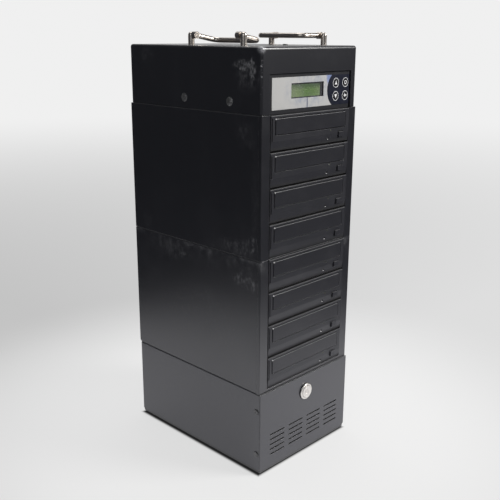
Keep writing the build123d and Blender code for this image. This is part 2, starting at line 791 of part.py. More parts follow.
def module_cover(bottom, top, reveal):
    """Left side, roof and right side of a drive module, with the rear screw lip."""
    front = stack_front + flange_depth + fit
    cover = bent_cover(front, stack_rear, stack_front + tie_depth + fit, bottom + reveal, top)
    panel_plane = stack_rear - sheet
    lip = block((-wall_inner, wall_inner), (panel_plane - front_sheet, panel_plane),
                (top - tab_height, top - sheet))
    cover = cover + lip
    holes = [rod_y(screw_hole_radius, x, (panel_plane - 2 * front_sheet, stack_rear), z)
             for x, z in rear_screw_spots(bottom, top)]
    return cover - holes - vertical_holes(top)


def upper_cover():
    """The upper module's cover, with the four bent-up tabs that carry the controller case."""
    cover = module_cover(lower_top, upper_top, upper_reveal)
    outer = case_half - case_wall - fit
    holes = []
    for y in side_bolt_y:
        middle = stack_front + y
        tab = block((outer - front_sheet, outer), (middle - tab_width / 2, middle + tab_width / 2),
                    (upper_top - sheet, upper_top - sheet + case_tab_height))
        cover = cover + both_sides(tab)
        holes.append(rod_x(screw_hole_radius, (-half_width, half_width), middle, upper_top + side_bolt_rise))
    return cover - holes


def rear_panel(bottom, top):
    """Flat rear panel with the fan's round opening."""
    site = fan_sites()["lower" if bottom < lower_top else "upper"]
    fan_centre, _, _, z = site
    panel = block((-wall_inner, wall_inner), (stack_rear - sheet, stack_rear), (bottom + sheet, top - sheet))
    span = (stack_rear - 2 * sheet, stack_rear + sheet)
    holes = [rod_y(fan_bore_radius, fan_centre, span, z)]
    holes += [rod_y(screw_hole_radius, x, span, hz) for x, hz in fan_screw_spots(fan_centre, z)]
    holes += [rod_y(screw_hole_radius, x, span, hz) for x, hz in rear_screw_spots(bottom, top)]
    return panel - holes


# Disc drives; level is the top edge of the drive's bezel


def drive_bezel(level):
    """Moulded front ring: door opening, sloping chin, left channel, button opening, lamp and pin hole."""
    half = bezel_width / 2
    front = stack_front - bezel_proud
    back = front + bezel_depth
    bottom = level - bezel_height
    chin_top = bottom + chin_height
    outline = Plane.YZ * Polyline((back, bottom), (front + chin_slope, bottom), (front, chin_top),
                                  (front, level), (back, level), close=True)
    bezel = extrude(make_face(outline), half, both=True)
    chin_line = bezel.edges().filter_by(Axis.X).filter_by(lambda edge: abs(edge.center().Z - chin_top) < fit)
    outer = [edge for edge in bezel.edges() if edge.center().Y < front + chin_slope + fit]
    bezel = fillet([edge for edge in outer if edge not in chin_line], bezel_edge)
    half_door = door_width / 2 + door_gap
    door_top = level - door_drop
    opening = block((-half_door, half_door), (front - 1, front + 2 * bezel_depth),
                    (door_top - door_height - door_gap, door_top + door_gap))
    opening = fillet(opening.edges().filter_by(Axis.Y), door_corner + door_gap)
    channel_x = -half + channel_inset
    channel = block((channel_x, channel_x + channel_width), (front - 1, front + channel_depth),
                    (chin_top, level - channel_drop))
    button_z = level - eject_drop
    button_hole = block((eject_x - eject_width / 2 - eject_gap, eject_x + eject_width / 2 + eject_gap),
                        (front - 1, front + 2 * bezel_depth),
                        (button_z - eject_height / 2 - eject_gap, button_z + eject_height / 2 + eject_gap))
    pin_z = level - pin_hole_drop
    pin_face = front + chin_slope * (chin_top - pin_z) / chin_height
    pin_hole = rod_y(pin_hole_radius, pin_hole_x, (front - 1, front + 2 * bezel_depth), pin_z)
    sink_span = (front - 1, pin_face + pin_hole_sink)
    pin_sink = rod_y(pin_hole_radius + pin_hole_sink, pin_hole_x, sink_span, pin_z)
    lamp_z = level - lamp_drop
    lamp_hole = block((lamp_x - lamp_width / 2, lamp_x + lamp_width / 2), (front - 1, front + lamp_depth),
                      (lamp_z - lamp_height / 2, lamp_z + lamp_height / 2))
    return bezel - opening - channel - button_hole - pin_hole - pin_sink - lamp_hole


def tray_levels(level):
    """Underside and top of the tray plate."""
    low = level - door_drop - door_height + tray_lift
    return low, low + tray_height


def disc_tray(level):
    """The tray with its two disc recesses and pickup slot, and the door front on its end."""
    half_door = door_width / 2
    door_top = level - door_drop
    door = block((-half_door, half_door), (door_front, door_back), (door_top - door_height, door_top))
    door = fillet(door.edges().filter_by(Axis.Y), door_corner)
    door = fillet(door.faces().sort_by(Axis.Y)[0].edges(), door_edge)
    low, high = tray_levels(level)
    half_tray = tray_width / 2
    plate = block((-half_tray, half_tray), (door_back, door_back + tray_length), (low, high))
    centre_y = door_back + disc_centre
    recess = rod_z(disc_recess_radius, 0, centre_y, (high - disc_recess_depth, high + 1))
    small_low = high - disc_recess_depth - small_recess_depth
    small = rod_z(small_recess_radius, 0, centre_y, (small_low, high))
    half_slot = pickup_slot_width / 2
    slot = block((-half_slot, half_slot), (centre_y, door_back + tray_length + 1), (low - 1, high + 1))
    hub_hole = rod_z(half_slot, 0, centre_y, (low - 1, high + 1))
    belly = block((-half_tray + tray_skirt, half_tray - tray_skirt),
                  (door_back + tray_head, door_back + tray_length + 1), (low - 1, small_low - tray_floor))
    return door + (plate - recess - small - slot - hub_hole - belly)


def eject_button(level):
    """Rectangular button held by a flange behind the bezel."""
    z = level - eject_drop
    front = stack_front - bezel_proud
    button = block((eject_x - eject_width / 2, eject_x + eject_width / 2),
                   (front - eject_proud, shell_front + running_gap),
                   (z - eject_height / 2, z + eject_height / 2))
    button = fillet(button.faces().sort_by(Axis.Y)[0].edges(), eject_edge)
    flange = block((eject_x - eject_width / 2 - eject_flange, eject_x + eject_width / 2 + eject_flange),
                   (shell_front + running_gap, shell_front + running_gap + eject_flange),
                   (z - eject_height / 2 - eject_flange, z + eject_height / 2 + eject_flange))
    return button + flange


def drive_shell(level):
    """Steel box of a drive, open at the front, with its connector block at the rear."""
    bottom = level - bezel_height + shell_inset
    top = level - shell_inset
    rear = shell_front + shell_length
    box = block((-shell_half, shell_half), (shell_front, rear), (bottom, top))
    inside = block((-shell_half + shell_wall, shell_half - shell_wall), (shell_front - 1, rear - shell_wall),
                   (bottom + shell_wall, top - shell_wall))
    z = connector_level(level)
    connector = block((loom_x - connector_width / 2, loom_x + connector_width / 4),
                      (rear, rear + connector_depth), (z - connector_height / 2, z + connector_height / 2))
    screw_z = bottom + drive_screw_rise
    holes = [rod_x(screw_hole_radius, (-shell_half - 1, shell_half + 1), stack_front + y, screw_z)
             for y in drive_screw_y]
    return (box - inside - holes) + connector


def connector_level(level):
    return level - bezel_height / 2


def drive_loader(level):
    """Moulded deck with the two grooved rails that carry the tray, and the eject button's switch."""
    low, high = tray_levels(level)
    floor = level - bezel_height + shell_inset + shell_wall
    outer = shell_half - shell_wall
    start = stack_front + loader_start
    end = start + loader_length
    deck_low = floor + drive_screw_rise + screw_head_radius
    rail = block((outer - rail_width, outer), (start, end), (deck_low, high + rail_lip))
    groove = block((outer - rail_width - 1, tray_width / 2 + run_gap), (start - 1, end + 1),
                   (low - run_gap, high + run_gap))
    deck = block((-outer, outer), (start, end), (deck_low, deck_low + deck_thickness))
    loader = deck
    for side in both_sides(rail - groove):
        loader = loader + side
    for place in loader_foot_places:
        foot = block((outer - loader_foot, outer), (start + place, start + place + loader_foot),
                     (floor, deck_low))
        loader = loader + both_sides(foot)
    switch_face = shell_front + running_gap + eject_flange + eject_travel + run_gap
    switch_half = eject_switch_width / 2
    switch = block((eject_x - switch_half, eject_x + switch_half), (switch_face, start + loader_foot),
                   (floor, deck_low + deck_thickness))
    return loader + switch


def drive_mechanism(level):
    """Spindle motor with its turntable, and the optical sled on two rods, on the deck under the tray."""
    low, _ = tray_levels(level)
    floor = level - bezel_height + shell_inset + shell_wall
    deck_top = floor + drive_screw_rise + screw_head_radius + deck_thickness
    centre_y = door_back + disc_centre
    top = low - 2 * run_gap
    spindle = rod_z(hub_radius, 0, centre_y, (deck_top, top - hub_step))
    spindle = spindle + rod_z(hub_radius - hub_shoulder, 0, centre_y, (top - hub_step, top))
    sled_y = centre_y + sled_distance
    sled_span = (sled_y - sled_depth / 2, sled_y + sled_depth / 2)
    sled = block((-sled_width / 2, sled_width / 2), sled_span, (deck_top, top - sled_gap))
    sled = sled + rod_z(lens_radius, 0, sled_y, (top - sled_gap, top))
    rod_start = centre_y + hub_radius + sled_gap
    ear_span = (sled_y - sled_ear_depth / 2, sled_y + sled_ear_depth / 2)
    ear = block((sled_width / 2, sled_rod_x), ear_span, (deck_top, deck_top + sled_ear_height))
    rod_span = (rod_start, rod_start + sled_rod_length)
    rod = rod_y(sled_rod_radius, sled_rod_x, rod_span, deck_top + sled_rod_radius)
    for side in both_sides(ear + rod):
        sled = sled + side
    return [spindle, sled]


# Controller module


def top_case():
    """Rounded five-sided shell with the front opening of the controller panel."""
    outer = block((-case_half, case_half), (case_front, case_rear), (upper_top, case_top))
    standing = outer.edges().filter_by(Axis.Z)
    upper = outer.faces().sort_by(Axis.Z)[-1].edges()
    outer = fillet(standing + upper, case_edge)
    outer = chamfer(outer.faces().sort_by(Axis.Z)[0].edges(), case_lower_edge)
    inner = block((-case_half + case_wall, case_half - case_wall),
                  (case_front + case_wall, case_rear - case_wall), (upper_top - 1, case_top - case_wall))
    inner = fillet(inner.edges().filter_by(Axis.Z) + inner.faces().sort_by(Axis.Z)[-1].edges(),
                   case_edge - case_wall)
    left, right = panel_sides()
    opening_top = upper_top + panel_opening_height
    opening = block((left, right), (case_front - 1, case_front + 2 * case_wall), (upper_top - 1, opening_top))
    recess_span = (case_front + case_wall / 2, case_front + panel_recess)
    rim_top = opening_top + case_wall
    left_cheek = block((left - case_wall, left), recess_span, (upper_top, rim_top))
    right_cheek = block((right, right + case_wall), recess_span, (upper_top, rim_top))
    lintel = block((left - case_wall, right + case_wall), recess_span, (opening_top, rim_top))
    case = outer - inner - opening + lintel + left_cheek + right_cheek
    roof_span = (case_top - 2 * case_wall, case_top + 1)
    holes = [rod_z(post_stud_radius + 0.1, x, y, roof_span) for x, y in post_spots()]
    holes.append(rod_z(screw_hole_radius, top_screw_x, stack_front + top_screw_y, roof_span))
    through = (-half_width - 1, half_width + 1)
    bolt_z = upper_top + side_bolt_rise
    holes += [rod_x(screw_hole_radius, through, stack_front + y, bolt_z) for y in side_bolt_y]
    return case - holes


def panel_sides():
    """Left and right edge of the panel's opening."""
    half = panel_opening_width / 2
    return panel_opening_x - half, panel_opening_x + half


def panel_planes():
    """Front and back of the controller panel's plate."""
    front = case_front + panel_recess
    return front, front + panel_thickness


def key_spots():
    """Centres of the four keys: left column from the bottom up, then the right column."""
    return [(x, upper_top + rise) for x in key_columns for rise in key_rises]


def controller_panel():
    """Moulded plate in the recess, standing on its own shelf, with posts for the board."""
    front, back = panel_planes()
    left, right = panel_sides()
    width = (left + panel_gap, right - panel_gap)
    top = upper_top + panel_opening_height - panel_gap
    plate = block(width, (front, back), (upper_top, top))
    shelf = block(width, (back, back + panel_shelf), (upper_top, upper_top + case_wall))
    panel = plate + shelf
    for x, z in board_posts():
        panel = panel + rod_y(stand_off_radius, x, (back, back + board_stand_off), z)
    low = upper_top + lcd_rise
    window = block((lcd_x - lcd_width / 2, lcd_x + lcd_width / 2), (front - 1, back + 1),
                   (low, low + lcd_height))
    holes = [rod_y(key_hole_radius, x, (front - 1, back + 1), z) for x, z in key_spots()]
    return panel - window - holes


def board_posts():
    """Stand-offs at the board's corners."""
    reach = board_width / 2 - board_post_inset_x
    middle = upper_top + panel_opening_height / 2
    rise = board_height / 2 - board_post_inset_z
    return [(x, middle + z) for x in (-reach, board_post_right * reach) for z in (-rise, rise)]


def lcd_window():
    """Clear pane of the display, a little sunk in its opening."""
    front, _ = panel_planes()
    low = upper_top + lcd_rise
    half = lcd_width / 2
    face = front + lcd_sink
    return block((lcd_x - half, lcd_x + half), (face, face + lcd_pane), (low, low + lcd_height))


def controller_board():
    """Circuit board with the display module and the four small key switches."""
    front, back = panel_planes()
    plane = back + board_stand_off
    middle = upper_top + panel_opening_height / 2
    board = block((-board_width / 2, board_width / 2), (plane, plane + board_thickness),
                  (middle - board_height / 2, middle + board_height / 2))
    pane_back = front + lcd_sink + lcd_pane
    half = lcd_width / 2 - fit
    low = upper_top + lcd_rise + fit
    board = board + block((lcd_x - half, lcd_x + half), (pane_back, plane), (low, low + lcd_height - 2 * fit))
    switch = Box(2 * board_switch_half, board_switch_height, 2 * board_switch_half)
    for x, z in key_spots():
        board = board + Pos(x, plane - board_switch_height / 2, z) * switch
    rear = plane + board_thickness
    plug = block((loom_x - plug_half_width, loom_x + plug_half_width), (rear, rear + plug_depth),
                 (middle - plug_half_height, middle + plug_half_height))
    return board + plug


def control_key(x, z):
    """Round key cap with a flange behind the panel and a stem to its switch."""
    front, back = panel_planes()
    switch_face = back + board_stand_off - board_switch_height
    cap = rod_y(key_radius, x, (front - key_proud, back + running_gap), z)
    cap = fillet(cap.edges().sort_by(Axis.Y)[0], key_edge)
    flange = rod_y(key_flange_radius, x, (back + running_gap, back + running_gap + key_flange), z)
    stem = rod_y(key_stem_radius, x, (back + key_flange, switch_face - key_travel - key_stem_gap), z)
    return cap + flange + stem


# Handles


def post_spots():
    return [(x, stack_front + y) for x in (-post_x, post_x) for y in post_y]


def handle_posts():
    """Four round posts with domed tops, a pivot pin on the inner side of each, a stud and its nut."""
    pivot_z = case_top + pivot_rise
    parts = []
    for x, y in post_spots():
        inward = 1 if y < stack_front + sum(post_y) / 2 else -1
        post = rod_z(post_radius, x, y, (case_top, pivot_z)) + Pos(x, y, pivot_z) * Sphere(post_radius)
        pin_end = y + inward * (post_radius + eye_gap + 2 * handle_bar_radius)
        pin = rod_y(handle_pin_radius, x, (y, pin_end), pivot_z)
        stud = rod_z(post_stud_radius, x, y, (case_top - post_stud_length, case_top))
        parts.append(post + pin + stud)
        nut_place = Pos(x, y, case_top - case_wall - nut_thickness)
        parts.append(hex_nut(nut_place, nut_radius, nut_thickness, post_stud_radius))
    return parts


def handle_bar(side, droop):
    """Round bar bent to a U, with an eye on each end; side is -1 on the left and 1 on the right."""
    leg_inset = post_radius + eye_gap + handle_bar_radius
    front = stack_front + post_y[0] + leg_inset
    rear = stack_front + post_y[1] - leg_inset
    path = FilletPolyline((0, front, 0), (handle_reach, front, 0), (handle_reach, rear, 0), (0, rear, 0),
                          radius=handle_bend)
    section = Plane(origin=path @ 0, z_dir=path % 0) * Circle(handle_bar_radius)
    bar = sweep(section, path=path)
    for y in (front, rear):
        span = (y - handle_bar_radius, y + handle_bar_radius)
        bar = bar + rod_y(eye_radius, 0, span, 0)
    for y in (front, rear):
        span = (y - handle_bar_radius - 1, y + handle_bar_radius + 1)
        bar = bar - rod_y(handle_pin_radius + running_gap, 0, span, 0)
    bar = Rot(0, droop, 0) * bar
    if side > 0:
        bar = mirror(bar, about=Plane.YZ)
    return Pos(side * post_x, 0, case_top + pivot_rise) * bar


# Wiring and screws


def wiring_loom():
    """One wrapped bundle: out of the supply's front, up behind the drives, forward to the board."""
    low, middle, high = psu_levels()
    supply_front = base_rear - front_sheet - psu_length
    over_supply = (high + base_top - sheet) / 2
    board_back = panel_planes()[1] + board_stand_off + board_thickness + plug_depth
    board_z = upper_top + panel_opening_height / 2
    exit_run = loom_bend + loom_straight
    exit_z = over_supply - 2 * loom_bend - loom_straight
    path = FilletPolyline((loom_x, supply_front, exit_z), (loom_x, supply_front - exit_run, exit_z),
                          (loom_x, supply_front - exit_run, over_supply), (loom_x, loom_plane, over_supply),
                          (loom_x, loom_plane, board_z), (loom_x, board_back, board_z), radius=loom_bend)
    section = Plane(origin=path @ 0, z_dir=path % 0) * Circle(loom_radius)
    loom = sweep(section, path=path)
    connector_face = shell_front + shell_length + connector_depth
    for level in drive_levels():
        loom = loom + rod_y(branch_radius, loom_x, (connector_face, loom_plane), connector_level(level))
    return loom


def case_screws():
    """Every screw of the case: sides, rear panels, fans, supply, stack joints and the domed bolts."""
    screws = []
    for y, z in side_screw_spots():
        for x in (-half_width, half_width):
            screws.append(screw(facing_side(x, y, z), side_head_radius, side_head_height))
    for bottom, top in ((base_top, lower_top), (lower_top, upper_top)):
        for x, z in rear_screw_spots(bottom, top):
            screws.append(screw(facing_rear(x, stack_rear, z)))
    for x, z in psu_screw_spots() + cover_screw_spots():
        screws.append(screw(facing_rear(x, base_rear, z)))
    for site in fan_sites().values():
        for x, z in fan_screw_spots(site[0], site[3]):
            screws.append(screw(facing_rear(x, site[2] + 2 * guard_wire_radius, z), length=3 * screw_length))
    for level in (base_top, lower_top):
        for place in stack_screw_places(level + sheet):
            screws.append(screw(place))
    for y in side_bolt_y:
        for x in (-case_half, case_half):
            screws.append(dome_bolt(facing_side(x, stack_front + y, upper_top + side_bolt_rise)))
    top_place = Pos(top_screw_x, stack_front + top_screw_y, case_top)
    screws.append(screw(top_place))
    nut_place = Pos(top_screw_x, stack_front + top_screw_y, case_top - case_wall - roof_nut_thickness)
    screws.append(hex_nut(nut_place, roof_nut_radius, roof_nut_thickness, screw_radius))
    return screws


def drive_screws():
    """Two screws on each side of each drive, through the cheek into the drive's shell."""
    screws = []
    for level in drive_levels():
        z = level - bezel_height + shell_inset + drive_screw_rise
        for y in drive_screw_y:
            for x in (-window_half - sheet, window_half + sheet):
                screws.append(screw(facing_side(x, stack_front + y, z), length=drive_screw_length))
    return screws


os.makedirs("parts", exist_ok=True)

save("base_pan", base_pan())
save("base_cover", base_cover())
save("rubber_feet", *rubber_feet())
save("psu_case", psu_case())
save("power_inlet", *power_inlet())
save("psu_rocker", psu_rocker())
save("power_switch_body", *power_switch_body())
save("power_switch_cap", power_switch_cap())

sites = fan_sites()
save("fan_frames", *[fan_frame(x, plane, z) for x, plane, _, z in sites.values()])
save("fan_guards", *[fan_guard(x, face, z) for x, _, face, z in sites.values()])
for name, (x, plane, _, z) in sites.items():
    save(f"{name}_fan_rotor", fan_rotor(x, plane, z))

save("lower_bay_frame", bay_frame(base_top, lower_top, lower_rail))
save("upper_bay_frame", bay_frame(lower_top, upper_top, upper_rail))
save("lower_cover", module_cover(base_top, lower_top, lower_reveal))
save("upper_cover", upper_cover())
save("lower_rear_panel", rear_panel(base_top, lower_top))
save("upper_rear_panel", rear_panel(lower_top, upper_top))

levels = drive_levels()
for number, level in enumerate(levels, start=1):
    save(f"drive_bezel_{number}", drive_bezel(level))
    save(f"disc_tray_{number}", disc_tray(level))
    save(f"eject_button_{number}", eject_button(level))
save("drive_shells", *[drive_shell(level) for level in levels])
save("drive_loaders", *[drive_loader(level) for level in levels])
save("drive_mechanisms", *[part for level in levels for part in drive_mechanism(level)])

save("top_case", top_case())
save("controller_panel", controller_panel())
save("lcd_window", lcd_window())
save("controller_board", controller_board())
for name, (x, z) in zip(("key_down", "key_up", "key_back", "key_enter"), key_spots()):
    save(name, control_key(x, z))
save("handle_posts", *handle_posts())
save("left_handle_bar", handle_bar(-1, handle_left_droop))
save("right_handle_bar", handle_bar(1, 0))

save("wiring_loom", wiring_loom())
save("case_screws", *case_screws())
save("drive_screws", *drive_screws())
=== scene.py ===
"""A stacked disc copying tower: its finishes, and the pieces that are finer than the solids.

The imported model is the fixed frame. The sections follow the tower from its feet to its handles,
and the last one sets the studio. All sizes are in metres.
"""

from math import cos, pi, sin

import bmesh
import bpy
import numpy as np
from mathutils import Matrix, Vector


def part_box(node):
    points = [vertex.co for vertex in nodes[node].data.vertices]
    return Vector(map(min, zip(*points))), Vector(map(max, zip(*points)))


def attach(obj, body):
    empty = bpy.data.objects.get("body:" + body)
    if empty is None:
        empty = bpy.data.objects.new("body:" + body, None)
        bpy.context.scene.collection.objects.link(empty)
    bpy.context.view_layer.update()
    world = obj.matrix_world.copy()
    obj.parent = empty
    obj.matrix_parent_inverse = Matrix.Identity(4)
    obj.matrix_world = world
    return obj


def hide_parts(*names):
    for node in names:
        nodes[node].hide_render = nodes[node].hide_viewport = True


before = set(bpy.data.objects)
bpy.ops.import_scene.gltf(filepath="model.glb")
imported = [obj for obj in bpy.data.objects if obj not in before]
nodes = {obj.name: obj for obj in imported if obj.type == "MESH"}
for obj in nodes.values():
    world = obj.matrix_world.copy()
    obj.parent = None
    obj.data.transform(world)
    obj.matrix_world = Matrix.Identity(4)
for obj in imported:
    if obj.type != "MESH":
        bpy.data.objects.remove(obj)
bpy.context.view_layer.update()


# Feet
# Four moulded rubber feet with rounded rims, stuck under the pan. The rubber is matt and greyed
# by dust that it has picked up from benches.


class Value:
    """An output of a finish's nodes, as a term of an expression: each operator adds a Math node."""

    def __init__(self, tree, socket):
        self.tree = tree
        self.socket = socket

    def node(self, kind, settings, inputs, output=0):
        """Any node: its type, the settings that come first, and its inputs' values or links."""
        made = self.tree.nodes.new("ShaderNode" + kind)
        for setting, choice in settings.items():
            setattr(made, setting, choice)
        for key, given in inputs.items():
            if isinstance(given, Value):
                self.tree.links.new(given.socket, made.inputs[key])
            else:
                made.inputs[key].default_value = given
        return Value(self.tree, made.outputs[output])

    def math(self, operation, *terms):
        """A Math node on the given terms."""
        return self.node("Math", {"operation": operation}, dict(enumerate(terms)))

    def __add__(self, other):
        return self.math("ADD", self, other)

    def __sub__(self, other):
        return self.math("SUBTRACT", self, other)

    def __rsub__(self, other):
        return self.math("SUBTRACT", other, self)

    def __mul__(self, other):
        return self.math("MULTIPLY", self, other)

    def __truediv__(self, other):
        return self.math("DIVIDE", self, other)

    def __pow__(self, other):
        return self.math("POWER", self, other)

    def __gt__(self, other):
        return self.math("GREATER_THAN", self, other)

    def __lt__(self, other):
        return self.math("LESS_THAN", self, other)

    def __mod__(self, other):
        return self.math("FLOORED_MODULO", self, other)

    def __rtruediv__(self, other):
        return self.math("DIVIDE", other, self)

    def __rpow__(self, other):
        return self.math("POWER", other, self)

    def __rmod__(self, other):
        return self.math("FLOORED_MODULO", other, self)

    def __abs__(self):
        return self.math("ABSOLUTE", self)

    __radd__ = __add__
    __rmul__ = __mul__

    def larger(self, other):
        """The larger of two values."""
        return self.math("MAXIMUM", self, other)

    def held(self, low=0.0, high=1.0):
        """The value kept between two limits."""
        return self.math("MINIMUM", self.larger(low), high)

    def step(self, low, high):
        """A smooth rise from 0 to 1 as the value goes from low to high."""
        smooth = {"interpolation_type": "SMOOTHSTEP"}
        return self.node("MapRange", smooth, {0: self, 1: low, 2: high})


class Finish:
    """A material under construction: its node tree, its shader and its Object coordinates."""

    def __init__(self, name, **constants):
        self.material = bpy.data.materials.new(name)
        self.material.use_nodes = True
        self.tree = self.material.node_tree
        self.shader = self.tree.nodes["Principled BSDF"]
        for socket, value in constants.items():
            self.shader.inputs[socket.replace("_", " ")].default_value = value
        self.place = Value(self.tree, None).node("TexCoord", {}, {}, "Object")

    def node(self, *given):
        """Any node, as Value makes it."""
        return self.place.node(*given)

    def axes(self):
        """The x, y and z of the point that is shaded."""
        return [self.node("SeparateXYZ", {}, {0: self.place}, axis) for axis in range(3)]

    def stretched(self, x, y, z):
        """The place with each axis multiplied, so that a pattern runs long or short along it."""
        return self.node("VectorMath", {"operation": "MULTIPLY"}, {0: self.place, 1: (x, y, z)})

    def noise(self, grain, detail=2.0, roughness=0.5, place=None):
        """Soft random noise from 0 to 1 whose lumps are about one grain apart."""
        return self.node("TexNoise", {}, {"Vector": place or self.place, "Scale": 1.0 / grain,
                                          "Detail": detail, "Roughness": roughness})

    def spot(self, across, up, centre, size):
        """1 in the middle of an oval and 0 outside it, by its centre and its half sizes."""
        right = (across - centre[0]) / size[0]
        above = (up - centre[1]) / size[1]
        return 1.0 - (right * right + above * above).step(0.2, 1.0)

    def upward(self):
        """1 on surfaces that face up, where dust settles, and 0 on upright ones."""
        normal = self.node("NewGeometry", {}, {}, "Normal")
        return self.node("SeparateXYZ", {}, {0: normal}, 2).step(0.25, 0.9)

    def mix(self, amount, below, above):
        """The colour below with the colour above over it by an amount from 0 to 1."""
        return self.node("Mix", {"data_type": "RGBA"}, {0: amount, 6: below, 7: above}, 2)

    def edges(self, radius):
        """1 on edges and 0 on faces: how far a normal that is rounded leaves the true one."""
        rounded = self.node("Bevel", {"samples": 6}, {"Radius": radius})
        plain = self.node("NewGeometry", {}, {}, "True Normal")
        along = self.node("VectorMath", {"operation": "DOT_PRODUCT"}, {0: rounded, 1: plain},
                          "Value")
        return (1.0 - along).step(0.02, 0.25)

    def fed(self, socket):
        """What feeds one of the shader's sockets so far."""
        return Value(self.tree, self.shader.inputs[socket].links[0].from_socket)

    def set(self, **variation):
        """Feeds the shader's sockets with what varies over the surface."""
        for socket, value in variation.items():
            self.tree.links.new(value.socket, self.shader.inputs[socket.replace("_", " ")])

    def relief(self, height, depth, edge_radius=0.0):
        """Turns a height from 0 to 1 into a normal, on top of an edge radius where one is given."""
        inputs = {"Strength": 1.0, "Distance": depth, "Height": height}
        if edge_radius:
            inputs["Normal"] = self.node("Bevel", {"samples": 6}, {"Radius": edge_radius})
        self.set(Normal=self.node("Bump", {}, inputs))


def grey(tone, blue=0.0):
    """A colour of one tone, with a little blue where it is cooler."""
    return (tone, tone, tone + blue, 1.0)


def coat(finish, *names):
    """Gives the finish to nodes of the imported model."""
    for name in names:
        for slot in nodes[name].material_slots:
            slot.material = finish.material


def feet_rubber():
    """Dull black rubber with fine greying dust."""
    finish = Finish("feet_rubber", Specular_IOR_Level=0.3)
    dust = finish.noise(0.012, 4.0) * finish.noise(0.0012, 3.0)
    finish.set(Base_Color=finish.mix(dust.held(), grey(0.012), grey(0.11)),
               Roughness=0.72 + dust * 0.25)
    finish.relief(finish.noise(0.0006, 2.0), 0.00008)
    return finish


coat(feet_rubber(), "rubber_feet")


# Power base: pan and cover
# A folded steel pan with the vents, under a bent cover held by side screws. Both are powder
# coated in satin black, which shows a fine orange peel, rubbed edges and wiped dust.

paint_tone = 0.014
base_tone = 0.022
dust_tone = 0.16
dust_band = 0.03  # how far dust hangs below a seam
orange_peel = 0.0011
peel_depth = 0.00004
paint_edge = 0.0005
left_side = -0.0875
slot_reach = 0.078  # of the front's slots, each way from the middle
slot_depth = 0.004
slot_foot = 0.004  # the slots begin higher than this above the walls' foot
lip_height = 0.0032  # of the pan, from the walls down to its lower edge


def black_paint(name, seams=(), scuffs=(), tone=paint_tone, wear=0.35, settled=0.4):
    """Powder coat, with dust in clouds, trails and specks, and in a band below each seam's height.

    Settled is the dust on what faces up, and wear is how bright the edges are rubbed. A scuff is
    on the left side: its middle (y, z), its half size (y, z) and its strength.
    """
    finish = Finish(name, IOR=1.85)
    x, y, z = finish.axes()
    clouds = finish.noise(0.055, 6.0, 0.62).step(0.5, 0.82)
    trails = finish.noise(0.02, 5.0, 0.6, finish.stretched(1.0, 1.0, 0.16)).step(0.52, 0.85)
    specks = finish.noise(0.0014, 3.0, 0.6).step(0.64, 0.74)
    dust = clouds * 0.03 + trails * 0.035 + specks * 0.06 + finish.upward() * settled
    for seam in seams:
        band = 1.0 - (seam - z).held(0.0, dust_band) / dust_band
        ragged = finish.noise(0.018, 5.0, 0.65).step(0.42, 0.8)
        dust = dust + (z < seam) * band * band * ragged * 0.45
    if scuffs:
        streaks = finish.noise(0.0022, 8.0, 0.75, finish.stretched(1.0, 0.8, 0.4)).step(0.42, 0.74)
        patches = finish.noise(0.009, 4.0, 0.6).step(0.35, 0.65)
        spread = 0.0
        for centre, size, strength in scuffs:
            spread = finish.spot(y, z, centre, size) * strength + spread
        dust = dust + (x < left_side) * streaks * patches * spread
    rubbed = finish.edges(0.0009) * finish.noise(0.006, 5.0, 0.7).step(0.4, 0.66) * wear
    paint = finish.mix(dust.held(), grey(tone, blue=tone * 0.25), grey(dust_tone, blue=0.008))
    finish.set(Base_Color=finish.mix(rubbed.held(), paint, grey(0.3)),
               Roughness=(0.28 + dust * 0.8 + clouds * 0.05).held(0.2, 0.85))
    finish.relief(finish.noise(orange_peel, 2.0, 0.45), peel_depth, paint_edge)
    return finish


base_low, base_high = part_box("base_cover")
pan_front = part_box("base_pan")[0].y
base_scuffs = [((-0.06, 0.100), (0.05, 0.014), 0.25), ((0.05, 0.060), (0.06, 0.02), 0.12)]
coat(black_paint("base_paint", [base_high.z], base_scuffs, base_tone), "base_cover")


def pan_paint():
    """The same coat, with painted shade that darkens the pan's lip below the walls and the walls of
    its slots, which are also made rougher.
    """
    finish = black_paint("pan_paint", tone=base_tone)
    x, y, z = finish.axes()
    # Painted shade on the lip under the walls.
    lip_shade = z < base_low.z - 0.0002
    shaded_lip = finish.mix(lip_shade * 0.85, finish.fed("Base Color"), grey(0.004))
    worn = finish.mix((z < base_low.z - lip_height) * lip_shade, shaded_lip, grey(0.05))
    # Painted shade on the walls of the front's slots.
    slot_shade = y.step(pan_front + 0.0001, pan_front + 0.0006) * (y < pan_front + slot_depth)
    slot_shade = slot_shade * (abs(x) < slot_reach) * (z > base_low.z + slot_foot)
    finish.set(Base_Color=finish.mix(slot_shade, worn, grey(0.001)),
               Roughness=finish.fed("Roughness") + slot_shade * 0.5)
    return finish


coat(pan_paint(), "base_pan")


# Power supply, inlet and rocker
# A zinc plated supply in its own box, with a moulded mains socket, three flat pins and the
# rocker switch under it. Behind the pan's window only their rear faces show.


def plated_steel(name, tone=0.52, roughness=0.34, crystal=0.004):
    """Zinc plate: bright grey with faint crystals and a rolled grain along the sheet."""
    finish = Finish(name, Metallic=1.0)
    cells = {"Vector": finish.place, "Scale": 1.0 / crystal}
    spangle = finish.node("TexVoronoi", {}, cells, "Color")
    flake = finish.node("SeparateColor", {}, {0: spangle})
    rolled = finish.noise(0.0009, 3.0, 0.5, finish.stretched(1.0, 1.0, 0.08))
    colour = finish.mix(flake * 0.35 + rolled * 0.25, grey(tone), grey(tone * 1.35, blue=0.01))
    finish.set(Base_Color=colour, Roughness=roughness + flake * 0.1 + rolled * 0.08)
    finish.relief(rolled, 0.00002, 0.0003)
    return finish


